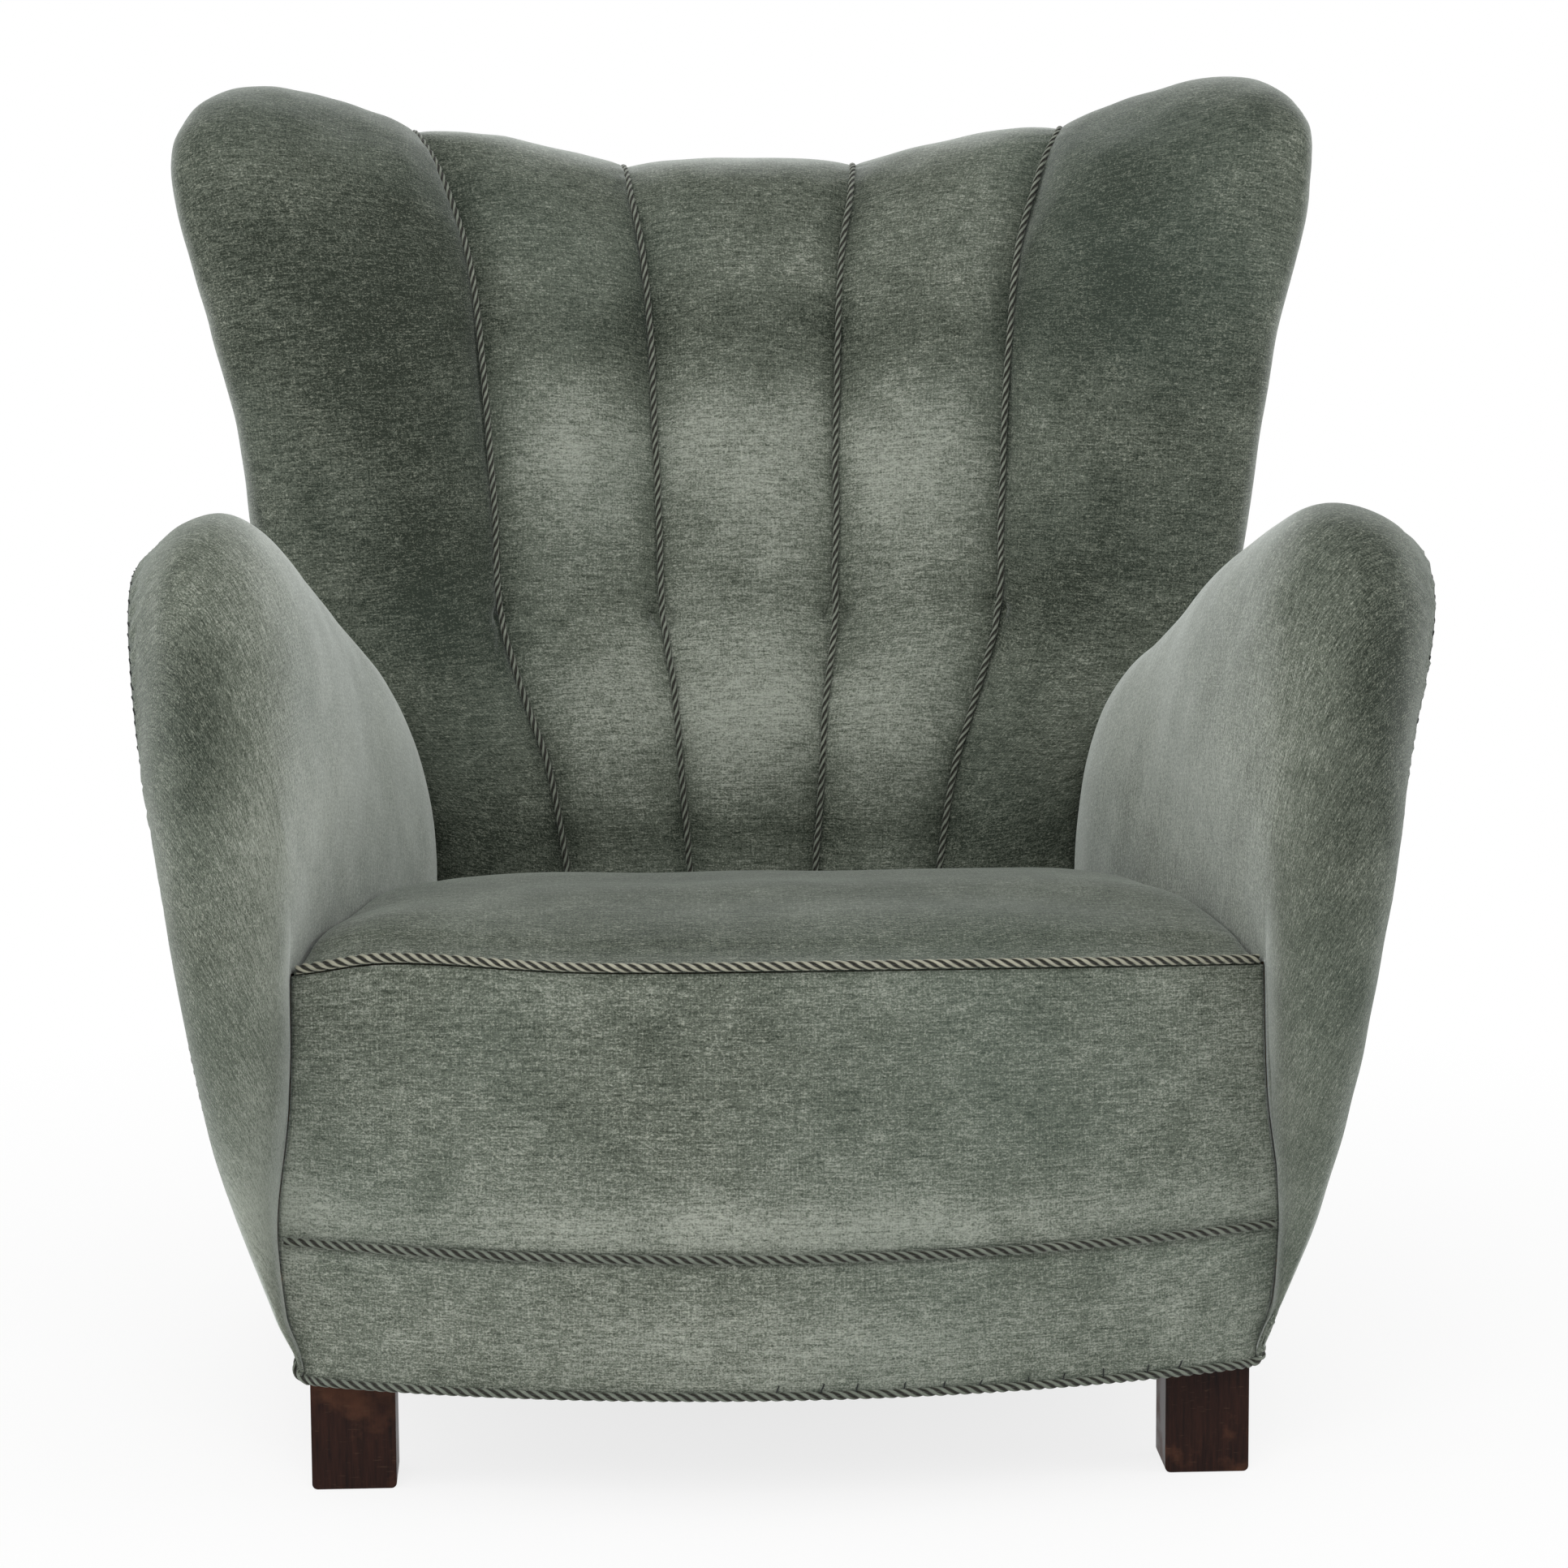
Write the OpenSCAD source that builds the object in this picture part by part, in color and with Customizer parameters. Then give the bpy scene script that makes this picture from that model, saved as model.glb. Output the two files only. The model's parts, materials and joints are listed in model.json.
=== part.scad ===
// High back lounge chair with a channelled wing back, round-nosed arms and a bowed front.
// Millimetres. X runs across the chair, Y from its front to its back, Z up from the floor.
// The origin is on the floor, under the middle of the chair's outer box.

/* [Overall] */
// Width over the arms
overall_w = 920; // [880:5:960]
// Depth from the bowed front to the back
overall_d = 850; // [825:5:880]
// Height of the wing tips
overall_h = 987; // [960:5:1020]

/* [Levels] */
// Lowest edge of the upholstery above the floor
hem_h = 76; // [66:1:90]
// How far the covers hang below the frame
hem_turn = 10; // [8:0.5:14]
// Height of the cord on the seat's front edge, at its middle
seat_h = 388; // [375:1:400]
// Height of the cord between the border and the apron
border_line_h = 185; // [175:1:195]
// Height of the arms at their noses
arm_h = 692; // [670:1:715]

/* [Seat] */
// Width of the seat at its front edge
seat_w = 682; // [660:2:700]
// Depth from the bowed front to the foot of the back
seat_d = 545; // [530:1:560]
// How far the front bows forward
bow = 80; // [60:1:90]
// Rise of the seat's crown above its front cord
seat_crown = 20; // [12:1:26]
// Fall of the seat's front cord towards its ends
seat_edge_drop = 15; // [8:1:20]
// Bulge of the border and the apron between their cords
border_bulge = 5; // [3:0.5:7]

/* [Back] */
// Height of the crown of each channel above its seams
channel_crown = 23; // [14:1:27]
// Lean of the back's frame from upright, in degrees
back_rake = 8.5; // [7:0.5:9]

/* [Covers] */
// Thickness of the velour with its wadding
cover_t = 2.5; // [1.5:0.1:3]
// Space between two soft pieces that lie against each other
fit = 0.3; // [0.2:0.05:0.5]
// Space between the outside back and the covers it is sewn to
seam_gap = 1.6; // [1:0.1:2]
// Thickness of the twisted cord on the seat and the border
cord_d = 7.6; // [6:0.2:9]
// Thickness of the twisted cord between the channels
back_cord_d = 6.8; // [5:0.2:8]
// Thickness of the dust cover and of the hessian
cloth_t = 1.2; // [0.8:0.1:1.6]

/* [Stuffing] */
// Padding on the front rail
front_pad = 14; // [10:1:18]
// Stuffing behind the seams of the channels and the wings
back_pad = 28; // [20:1:32]
// Thickness of the seat's stuffing at its rear edge
seat_pad = 42; // [36:1:48]

/* [Timber] */
// Thickness of the rails of the seat frame
rail_t = 28; // [22:1:32]
// Height of the rails of the seat frame
rail_h = 92; // [80:1:100]
// Length of the corner blocks' sides
block_l = 58; // [50:1:64]
// Width of the back's stiles, across the chair
stile_t = 30; // [24:1:34]
// Depth of the back's stiles
stile_d = 45; // [36:1:50]
// Height of the back's two cross rails
cross_rail_h = 42; // [34:1:48]
// Thickness of the wing boards and the arm boards
board_t = 24; // [18:1:28]
// Width of the rails that run along the arms
arm_rail_w = 24; // [20:1:28]
// Height of the rails that run along the arms
arm_rail_h = 36; // [28:1:40]
// Diameter of the dowels
dowel_d = 10; // [8:0.5:12]
// Length of the dowels
dowel_l = 56; // [44:2:60]
// Space round a dowel in its hole
dowel_play = 0.1; // [0.05:0.05:0.2]

/* [Legs] */
// Width of a leg
leg_w = 60; // [50:1:64]
// Depth of a front leg
leg_d = 52; // [44:1:56]
// Radius of the corners of a leg's foot
leg_round = 4; // [2:0.5:6]
// How far a leg stands out beyond the side rail
leg_overhang = 12.5; // [8:0.5:14]
// How far a front leg stands back from the front rail's face
leg_set = 5.5; // [3:0.5:8]
// How far the rear legs kick back
rear_leg_kick = 24; // [10:1:28]
// Width and depth of a rear leg at its foot
rear_foot = 34; // [28:1:40]

/* [Webbing and springs] */
// Width of a strap of webbing
web_w = 50; // [40:1:56]
// Thickness of the webbing
web_t = 2; // [1.5:0.1:3]
// Diameter of the wire of the seat springs
spring_wire = 4; // [3:0.2:5]
// Diameter of a seat spring at its ends
spring_d = 86; // [70:1:96]
// Diameter of a seat spring at its waist
spring_waist_d = 56; // [44:1:66]
// Turns of a seat spring
spring_turns = 5; // [4:1:6]
// Diameter of the wire of the back springs
back_spring_wire = 3; // [2.4:0.2:3.6]
// Diameter of a back spring
back_spring_d = 62; // [50:1:70]
// Turns of a back spring
back_spring_turns = 4; // [3:1:5]

/* [Tacks] */
// Diameter of a tack's head
tack_d = 9; // [7:0.5:11]
// Height of a tack's head
tack_h = 1.6; // [1.2:0.1:2.2]
// Tacks along each side of the dust cover
tacks_a_side = 6; // [4:1:8]

/* [Hidden] */

// Colours
velour = [0.45, 0.48, 0.43];
velour_dark = [0.33, 0.36, 0.31];
cord_green = [0.22, 0.27, 0.22];
stained_oak = [0.24, 0.15, 0.11];
beech = [0.78, 0.63, 0.45];
jute = [0.72, 0.60, 0.42];
fibre = [0.62, 0.52, 0.38];
steel = [0.55, 0.56, 0.57];
black_cloth = [0.16, 0.16, 0.17];

// Rows and columns of the soft surfaces
back_rows = 18;
channel_cols = 6;
wing_cols = 8;
arm_rows = 16;
arm_cols = 9;
panel_cols = 6;
seat_rows = 9;
seat_cols = 12;
front_cols = 16;
border_rows = 5;
apron_rows = 4;
coil_rings = 6;
wire_sides = 4;
cord_sides = 8;
back_cord_sides = 6;

// Outer box
half_w = overall_w / 2;
half_seat = seat_w / 2;
front_y = -overall_d / 2;
cut = overall_w;

// Places are given as shares of the levels of the chair. Across: 1 is the seat's edge and 2 the
// outside of the arm. Along: 0 is the bowed front, 1 the foot of the back and 2 the rear.
// Up: 1 is the hem, 2 the seat cord, 3 the top of the arm and 4 the top of the wings.
function across(a) = a <= 1 ? a * half_seat : half_seat + (a - 1) * (half_w - half_seat);
function along(b) = b <= 1 ? front_y + b * seat_d
    : front_y + seat_d + (b - 1) * (overall_d - seat_d);
function up(c) = c <= 1 ? c * hem_h
    : c <= 2 ? hem_h + (c - 1) * (seat_h - hem_h)
    : c <= 3 ? seat_h + (c - 2) * (arm_h - seat_h)
    : arm_h + (c - 3) * (overall_h - arm_h);
function place(s) = [across(s[0]), along(s[1]), up(s[2])];
function places(table) = [for (s = table) place(s)];

// Curves and surfaces
function unit(v) = norm(v) > 0 ? v / norm(v) : v;
function mix(a, b, t) = a + (b - a) * t;
function flip(p) = [-p.x, p.y, p.z];
function curve(a, b, c, d, t) =
    (2 * b + (c - a) * t + (2 * a - 5 * b + 4 * c - d) * t * t + (3 * b - a - 3 * c + d) * t * t * t) / 2;
function at(stations, t) =
    let (n = len(stations) - 1, x = min(max(t, 0), 1) * n, i = min(floor(x), n - 1))
    let (b = stations[i], c = stations[i + 1])
    let (a = i > 0 ? stations[i - 1] : 2 * b - c, d = i < n - 1 ? stations[i + 2] : 2 * c - b)
    curve(a, b, c, d, x - i);
function arch(k, s) =
    k[0] * pow(1 - s, 3) + 3 * k[1] * pow(1 - s, 2) * s + 3 * k[2] * (1 - s) * s * s + k[3] * pow(s, 3);
function lay(rows, cols, f) = [for (i = [0:rows]) [for (j = [0:cols]) f(i / rows, j / cols)]];
function eased(s) = (1 - cos(180 * s)) / 2;

// The outward normal of a grid at one of its points, longer where the surface folds, so that a
// copy moved along it keeps its distance from each face.
function face_normal(g, i, j) = unit(cross(g[i + 1][j + 1] - g[i][j], g[i + 1][j] - g[i][j + 1]));
function normal(g, i, j) =
    let (r = len(g) - 1, c = len(g[0]) - 1)
    let (near = [for (a = [max(i - 1, 0):min(i, r - 1)]) for (b = [max(j - 1, 0):min(j, c - 1)])
        face_normal(g, a, b)])
    let (n = unit([for (k = [0:2]) total([for (v = near) v[k]])]))
    n / max(fold_share, total([for (v = near) v * n]) / len(near));
function total(list) = len(list) == 0 ? 0 : [for (v = list) 1] * list;
fold_share = 0.45;
function inset(g, d) = [for (i = [0:len(g) - 1]) [for (j = [0:len(g[0]) - 1])
    g[i][j] - d * normal(g, i, j)]];

// A closed solid between an outer grid of points and an inner one of the same size
module slab(outer, inner) {
    r = len(outer);
    c = len(outer[0]);
    n = r * c;
    skin = [for (i = [0:r - 2]) for (j = [0:c - 2]) let (p = i * c + j)
        each [[p, p + c, p + c + 1], [p, p + c + 1, p + 1]]];
    lining = [for (t = skin) [t[0] + n, t[2] + n, t[1] + n]];
    edge = concat([for (j = [0:c - 1]) j], [for (i = [1:r - 1]) i * c + c - 1],
        [for (j = [1:c - 1]) r * c - 1 - j], [for (i = [1:r - 2]) (r - 1 - i) * c]);
    m = len(edge);
    rim = [for (k = [0:m - 1]) let (a = edge[k], b = edge[(k + 1) % m])
        each [[a, b, b + n], [a, b + n, a + n]]];
    polyhedron([each each outer, each each inner], concat(skin, lining, rim));
}

// A tube along a route, where refs point to one side of it
module tube(route, refs, radius, sides) {
    last = len(route) - 1;
    rings = [for (i = [0:last])
        let (t = unit(route[min(i + 1, last)] - route[max(i - 1, 0)]))
        let (b = unit(cross(t, refs[i])), n = cross(b, t))
        [for (k = [0:sides - 1]) let (a = 360 * (k + 0.5) / sides)
            route[i] + radius * (cos(a) * n + sin(a) * b)]];
    wall = [for (i = [0:last - 1]) for (k = [0:sides - 1])
        let (p = i * sides + k, q = i * sides + (k + 1) % sides)
        each [[p, q + sides, q], [p, p + sides, q + sides]]];
    ends = [for (k = [1:sides - 2]) each [[0, k, k + 1],
        [last * sides, last * sides + k + 1, last * sides + k]]];
    polyhedron([each each rings], concat(wall, ends));
}

// Shapes of the back. Each seam runs from under the seat, up the front and over the top.
inner_seam_shares = [[0.14, 1, 1.81], [0.15, 1, 1.95], [0.165, 1.01, 2.19], [0.18, 1.07, 2.39],
    [0.205, 1.14, 2.585], [0.21, 1.21, 2.83], [0.22, 1.32, 3.22], [0.235, 1.4, 3.5],
    [0.26, 1.49, 3.68], [0.275, 1.63, 3.765], [0.28, 1.8, 3.74], [0.28, 1.95, 3.61]];
outer_seam_shares = [[0.42, 0.99, 1.81], [0.435, 0.98, 1.95], [0.47, 0.985, 2.19],
    [0.53, 1.02, 2.39], [0.59, 1.075, 2.61], [0.595, 1.13, 2.845], [0.62, 1.235, 3.265],
    [0.65, 1.32, 3.535], [0.705, 1.43, 3.72], [0.77, 1.58, 3.85], [0.785, 1.75, 3.82],
    [0.78, 1.905, 3.67]];
// The two inner guides of a wing's arches, and the seam on its outside
wing_rise_shares = [[0.5, 0.915, 1.81], [0.545, 0.9, 2.1], [0.6, 0.895, 2.42],
    [0.675, 0.925, 2.77], [0.72, 0.985, 3.37], [0.79, 1.2, 3.82], [0.91, 1.54, 4.01],
    [0.925, 1.8, 3.755]];
wing_roll_shares = [[0.7, 0.9, 1.81], [0.82, 0.88, 2.14], [1.36, 0.87, 2.41],
    [1.8, 0.86, 2.75], [2.24, 0.89, 3.38], [2.48, 0.92, 3.99], [1.86, 1.3, 4.115],
    [1.3, 1.64, 3.9]];
wing_seam_shares = [[0.8, 0.955, 1.81], [0.8, 0.97, 2.16], [1.22, 1.245, 2.385],
    [1.38, 1.295, 2.73], [1.55, 1.32, 3.28], [1.79, 1.335, 3.575], [1.86, 1.4, 3.8],
    [1.66, 1.5, 3.9]];
// How full the channels are, from the seat to the rear seam
crown_shares = [0.7, 0.8, 0.9, 0.85, 0.7, 0.85, 1, 1, 0.8, 0.42, 0.3, 0.05];
crown_power = 0.7;

inner_seam = places(inner_seam_shares);
outer_seam = places(outer_seam_shares);
wing_guides = [outer_seam, places(wing_rise_shares), places(wing_roll_shares),
    places(wing_seam_shares)];

// Seams pulled apart by half the space between two covers
seam_room = fit / 2;
function channel_base(a, b, t, s) =
    let (p = at(a, t), q = at(b, t), room = unit(q - p) * seam_room)
    mix(p + room, q - room, eased(s));
function channel_point(a, b, t, s) =
    let (run = at(b, t) - at(a, t), e = eased(s))
    let (out = unit(cross(run, at(a, min(t + tiny_share, 1)) - at(a, max(t - tiny_share, 0)))))
    let (rise = channel_crown * at(crown_shares, t) * pow(4 * e * (1 - e), crown_power))
    channel_base(a, b, t, s) + out * rise;
tiny_share = 0.01;
function wing_point(t, s) =
    let (k = [for (g = wing_guides) at(g, t)])
    arch([k[0] + unit(k[1] - k[0]) * seam_room, k[1], k[2], k[3]], s);

inner_seam_left = [for (p = inner_seam) flip(p)];
function channel_grid(a, b) = lay(back_rows, channel_cols, function (t, s) channel_point(a, b, t, s));
centre_grid = channel_grid(inner_seam_left, inner_seam);
side_grid = channel_grid(inner_seam, outer_seam);
wing_grid = lay(back_rows, wing_cols, function (t, s) wing_point(t, s));

// Shapes of the seat and its front
side_line_shares = [[1, 0.165], [0.94, 0.33], [0.84, 0.55], [0.745, 0.79], [0.75, 1]];
side_edge_shares = [1.95, 2, 2, 1.95, 1.9];
arm_foot_shares = [1.95, 1.89, 1.845, 1.82, 1.81];
seat_rise_shares = [0, 0.55, 0.85, 1, 1, 0.9, 0.65, 0.3, 0];
seat_edge_power = 6;
seat_ease_share = 0.6;
front_half_shares = [1.025, 1.11, 1.025, 1];
front_set_shares = [0.17, 0.162, 0.16, 0.165];
hem_seam_z = hem_h + cord_d;
function side_line(v) = let (s = at(side_line_shares, v)) [across(s[0]), along(s[1])];
function bow_y(u, half, depth) = let (r = (half * half + depth * depth) / (2 * depth))
    (r - depth) - sqrt(r * r - pow(u * half, 2));
// Height shares of the front: 0 is the hem, 1 the border's cord and 2 the seat's cord
function front_t(c) = c <= 1 ? c / 3 : (1 + 2 * (c - 1)) / 3;
function front_z(c, u) = c <= 1 ? mix(hem_seam_z, border_line_h, c)
    : mix(border_line_h, seat_h - seat_edge_drop * u * u, c - 1);
function front_base(c, u) =
    let (half = across(at(front_half_shares, front_t(c))), y = along(at(front_set_shares, front_t(c))))
    [u * half, y + bow_y(u, half, bow), front_z(c, u)];
function front_point(c, u) =
    let (w = c <= 1 ? c : c - 1, p = front_base(c, u))
    let (swell = border_bulge * pow(4 * w * (1 - w), crown_power) * (1 - pow(u, seat_edge_power)))
    p + swell * unit([p.x * bow / (half_seat * half_seat) * 2, -1, 0]);
function front_grid(from, to, rows) =
    lay(rows, front_cols, function (t, s) front_point(mix(from, to, eased(t)), 2 * s - 1));

// Where one cover ends under another along a corner
tuck = cover_t + fit;
border_grid = front_grid(1 + fit / seat_h, 2 - tuck / (seat_h - border_line_h), border_rows);
apron_grid = front_grid(0, 1 - fit / seat_h, apron_rows);

// The first place where a line along Y through x and z meets one of the grids
function crossing(a, b, c, x, z) =
    let (d = (b.x - a.x) * (c.z - a.z) - (c.x - a.x) * (b.z - a.z))
    d == 0 ? [] :
    let (u = ((x - a.x) * (c.z - a.z) - (c.x - a.x) * (z - a.z)) / d)
    let (v = ((b.x - a.x) * (z - a.z) - (x - a.x) * (b.z - a.z)) / d)
    u >= 0 && v >= 0 && u + v <= 1 ? [a.y + u * (b.y - a.y) + v * (c.y - a.y)] : [];
function back_front_y(x, z) =
    let (hits = [for (g = [centre_grid, side_grid, wing_grid]) for (i = [0:back_rows - 1])
        for (j = [0:len(g[0]) - 2])
        each concat(crossing(g[i][j], g[i + 1][j], g[i + 1][j + 1], abs(x), z),
            crossing(g[i][j], g[i + 1][j + 1], g[i][j + 1], abs(x), z))])
    len(hits) > 0 ? min(hits) : along(beside_wing_share);
// How far the arm's cover runs back where it passes outside the wing
beside_wing_share = 1.08;
// The same, kept clear of the folds within a step on all sides
function clear_front_y(x, z, step) =
    let (around = [[0, 0], [step, 0], [-step, 0], [0, step], [0, -step]])
    min([for (d = around) back_front_y(x + d[0], z + d[1])]) - fit;
arm_step = 2 * cover_t;
seat_step = half_seat / (2 * seat_cols + 4);

seat_rear_z = up(at(side_edge_shares, 1));
// Shapes of the arms: each arch runs from the foot of the arm's inner side to its outer seam,
// from the back of the arm over its nose and down its front.
arm_rise_shares = [[0.72, 0.965, 2.27], [0.72, 0.79, 2.37], [0.79, 0.54, 2.56],
    [0.87, 0.22, 2.67], [0.955, 0.045, 2.4], [1.09, 0.035, 1.815], [1.125, 0.1, 1.41],
    [1.05, 0.145, 1.03]];
arm_roll_shares = [[0.85, 0.965, 2.63], [0.84, 0.77, 2.8], [0.96, 0.505, 3.1],
    [1.1, 0.2, 3.29], [1.53, -0.03, 3.07], [1.75, 0.02, 2.12], [1.48, 0.075, 1.575],
    [1.06, 0.145, 1.05]];
arm_seam_shares = [[1.32, 0.965, 2.42], [1.665, 0.78, 2.485], [1.89, 0.54, 2.7],
    [1.976, 0.33, 2.86], [1.976, 0.22, 2.69], [1.775, 0.2, 2.17], [1.515, 0.19, 1.595],
    [1.05, 0.18, 1.05]];
corner_share = seat_rows / arm_rows;
arm_rise = places(arm_rise_shares);
arm_roll = places(arm_roll_shares);
arm_seam = places(arm_seam_shares);
function arm_foot(t) = t <= corner_share
    ? let (v = 1 - t / corner_share, e = side_line(v)) [e[0] + fit, e[1], up(at(arm_foot_shares, v))]
    : let (p = front_base(2 * (1 - t) / (1 - corner_share), 1)) [p.x + 2 * fit, p.y, p.z];
function arm_point(t, s) = arch([arm_foot(t), at(arm_rise, t), at(arm_roll, t), at(arm_seam, t)], s);
arm_loose = lay(arm_rows, arm_cols, function (t, s) arm_point(t, 1 - s));
arm_grid = [for (i = [0:arm_rows]) i > 0 ? arm_loose[i]
    : [for (p = arm_loose[0]) [p.x, clear_front_y(p.x, p.z, arm_step), p.z]]];
// A lining of the arm's grid, cut off along the back as the grid is
function arm_lining(g) = [for (i = [0:arm_rows]) i > 0 ? g[i] : [for (j = [0:arm_cols])
    [g[0][j].x, min(arm_grid[0][j].y, clear_front_y(g[0][j].x, g[0][j].z, arm_step)), g[0][j].z]]];

// Half the seat's width, between the inner sides of the arms
function seat_half(v) =
    let (e = side_line(v), z = up(at(side_edge_shares, v)) + seat_crown / 2)
    let (hits = [for (i = [0:arm_rows - 1]) for (j = [arm_cols - 4:arm_cols - 1])
        let (a = arm_grid[i][j], c = arm_grid[i + 1][j + 1])
        each concat(side_crossing(a, arm_grid[i + 1][j], c, e[1], z),
            side_crossing(a, c, arm_grid[i][j + 1], e[1], z))])
    min(concat([e[0]], hits)) - 2 * fit;
function side_crossing(a, b, c, y, z) =
    crossing([a.y, a.x, a.z], [b.y, b.x, b.z], [c.y, c.x, c.z], y, z);
function seat_point(v, s) =
    let (u = 2 * mix(s, eased(s), seat_ease_share) - 1, e = side_line(v), x = u * seat_half(v))
    let (edge_z = v == 0 ? seat_h - seat_edge_drop : up(at(side_edge_shares, v)))
    let (rise = seat_crown * at(seat_rise_shares, v) * sqrt(1 - pow(abs(u), seat_edge_power)))
    let (rear = v < 1 ? 0 : clear_front_y(x, seat_rear_z, seat_step))
    [x, v < 1 ? e[1] + bow_y(u, e[0], bow) * (1 - v) : rear,
        edge_z + rise + seat_edge_drop * (1 - u * u) * pow(1 - v, 4)];
seat_grid = lay(seat_rows, seat_cols, function (t, s) seat_point(t, s));

// The rear outline: the lower edge of the outside back runs on from the wing's outer seam
lower_edge_shares = [[0.975, 1.54, 1.04], [1.05, 1.48, 1.55], [1.16, 1.38, 2], [1.22, 1.245, 2.385]];
rear_middle_shares = [[0, 1.62, 1.04], [0, 1.74, 1.69], [0, 1.86, 2.37], [0, 1.95, 2.895],
    [0, 2, 3.37], [0, 1.95, 3.61]];
rear_inner_shares = [[0.28, 1.615, 1.04], [0.28, 1.735, 1.69], [0.28, 1.855, 2.37],
    [0.28, 1.94, 2.895], [0.28, 1.99, 3.37], [0.28, 1.95, 3.61]];
rear_outer_shares = [[0.705, 1.6, 1.04], [0.72, 1.705, 1.69], [0.75, 1.805, 2.37],
    [0.77, 1.88, 2.895], [0.78, 1.94, 3.37], [0.78, 1.905, 3.67]];
wing_foot_share = 2 / 7;
wing_foot_level_share = 0.4;
lower_edge = places(lower_edge_shares);
rear_middle = places(rear_middle_shares);
rear_inner = places(rear_inner_shares);
rear_outer = places(rear_outer_shares);
function rear_edge(w) = let (k = wing_foot_level_share)
    w <= k ? at(lower_edge, w / k) : at(wing_guides[3], mix(wing_foot_share, 1, (w - k) / (1 - k)));
function rear_point(w, s) =
    let (h = abs(2 * s - 1), r = rear_edge(w), e = r + unit(at(rear_outer, w) - r) * seam_gap)
    let (line = [flip(at(rear_inner, w)), at(rear_middle, w), at(rear_inner, w), at(rear_outer, w), e])
    let (p = at(line, (1 + 3 * h) / 4))
    s < 0.5 ? flip(p) : p;
// Rows up the lower edge, then rows that meet rows of the wings
rear_foot_rows = 4;
rear_seam_rows = [6, 8, 10, 12, 13, 14, 15, 16, 17];
function seam_level(i) =
    mix(wing_foot_level_share, 1, (i / back_rows - wing_foot_share) / (1 - wing_foot_share));
rear_levels = concat([for (k = [0:rear_foot_rows]) wing_foot_level_share * k / rear_foot_rows],
    [for (i = rear_seam_rows) seam_level(i)]);
// The top row follows the ends of the channels and of the wings
rear_top_half = [centre_grid[back_rows][channel_cols / 2], centre_grid[back_rows][channel_cols - 1],
    at(inner_seam, 1), side_grid[back_rows][channel_cols / 2], at(outer_seam, 1),
    wing_grid[back_rows][wing_cols / 2], at(wing_guides[3], 1)];
rear_top = [for (j = [-panel_cols:panel_cols]) let (p = rear_top_half[abs(j)])
    [j > 0 ? -p.x : p.x, p.y + seam_gap / 2, p.z - seam_gap]];
rear_grid = concat([for (w = rear_levels) [for (j = [0:2 * panel_cols])
    rear_point(w, 1 - j / (2 * panel_cols))]], [rear_top]);

// The outside of the arm, between the arm's outer seam and the rear edge. It ends under both.
panel_rows = 9;
panel_foot_rows = 3;
panel_bulge_share = 0.035;
function panel_front(k) = arm_grid[arm_rows - k][0] + [0, tuck, k < panel_rows ? 0 : -tuck];
function panel_rear(k) = k <= panel_foot_rows
    ? at(lower_edge, k / panel_foot_rows) - [0, tuck, k < panel_foot_rows ? 0 : tuck]
    : arm_grid[k - panel_foot_rows - 1][0] - [0, 0, tuck];
function panel_point(k, s) =
    let (a = panel_front(k), b = panel_rear(k), m = (a + b) / 2)
    let (top = k < panel_rows ? m : arm_grid[arm_rows - panel_rows - 1][0] - [0, 0, tuck])
    let (swell = k < panel_rows ? norm(b - a) * panel_bulge_share * 4 * s * (1 - s) : 0)
    (s < 0.5 ? mix(a, top, 2 * s) : mix(top, b, 2 * s - 1)) + [swell, 0, 0];
panel_grid = [for (k = [0:panel_rows]) [for (j = [0:panel_cols]) panel_point(k, j / panel_cols)]];

// Copies of a grid drawn in towards the chord of each row, which leaves room for the frame
core_share = 0.35;
function cored(g) = [for (row = g) let (m = (row[0] + row[len(row) - 1]) / 2)
    [for (p = row) mix(p, m, core_share)]];

// The seat frame
frame_z = hem_h + hem_turn;
rail_top_z = frame_z + rail_h;
hem_half = across(front_half_shares[0]);
hem_end_y = along(front_set_shares[0]);
bow_r = (hem_half * hem_half + bow * bow) / (2 * bow);
bow_centre_y = hem_end_y + bow_r - bow;
rail_r = bow_r - front_pad;
rail_inner_r = rail_r - rail_t;
frame_inset_share = 0.936;
frame_half = hem_half * frame_inset_share;
rear_rail_y = lower_edge[0].y - 2.4 * cover_t - rail_t;
side_rail_x = frame_half - rail_t;
block_x = side_rail_x - block_l;
function on_bow(x, r) = bow_centre_y - sqrt(r * r - x * x);
block_rear_y = on_bow(block_x, rail_inner_r) + block_l;

// Legs
leg_x = frame_half + leg_overhang - leg_w / 2;
leg_y = on_bow(leg_x, rail_r) + leg_set;
leg_dowel_xs = [frame_half - rail_t / 2, side_rail_x - dowel_d];
front_dowel_y = leg_y + leg_d - 1.5 * dowel_d;
rear_dowel_y = rear_rail_y - 0.7 * dowel_d;
rear_top_share = 0.85;
rear_leg_y = rear_rail_y + rail_t / 2 - leg_d * rear_top_share;

// The back frame, whose timbers lean back in one plane
stile_share = 0.69;
stile_x = across(stile_share);
lean = tan(back_rake);
frame_top_share = 3.55;
frame_top_z = up(frame_top_share);
lower_rail_share = 1.9;
lower_rail_z = up(lower_rail_share) - 1.4 * cross_rail_h;
function stile_rear_y(z) = rear_rail_y + rail_t + (z - rail_top_z) * lean;
function stile_front_y(z) = stile_rear_y(z) - stile_d;

// The plane of the back's hessian, just behind the stuffing of the channels
foot_y = at(inner_seam, 0).y + cover_t + fit + back_pad;
high_t = 7 / 11;
high_y = at(inner_seam, high_t).y + cover_t + fit + back_pad;
high_z = at(inner_seam, high_t).z;
low_z = at(inner_seam, 0).z;
hessian_lean = (high_y - foot_y) / (high_z - low_z);
function hessian_y(z) = foot_y + cover_t + (z - low_z) * hessian_lean;

module mirrored() mirror([1, 0, 0]) children();

module both() {
    children();
    mirrored() children();
}

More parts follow.
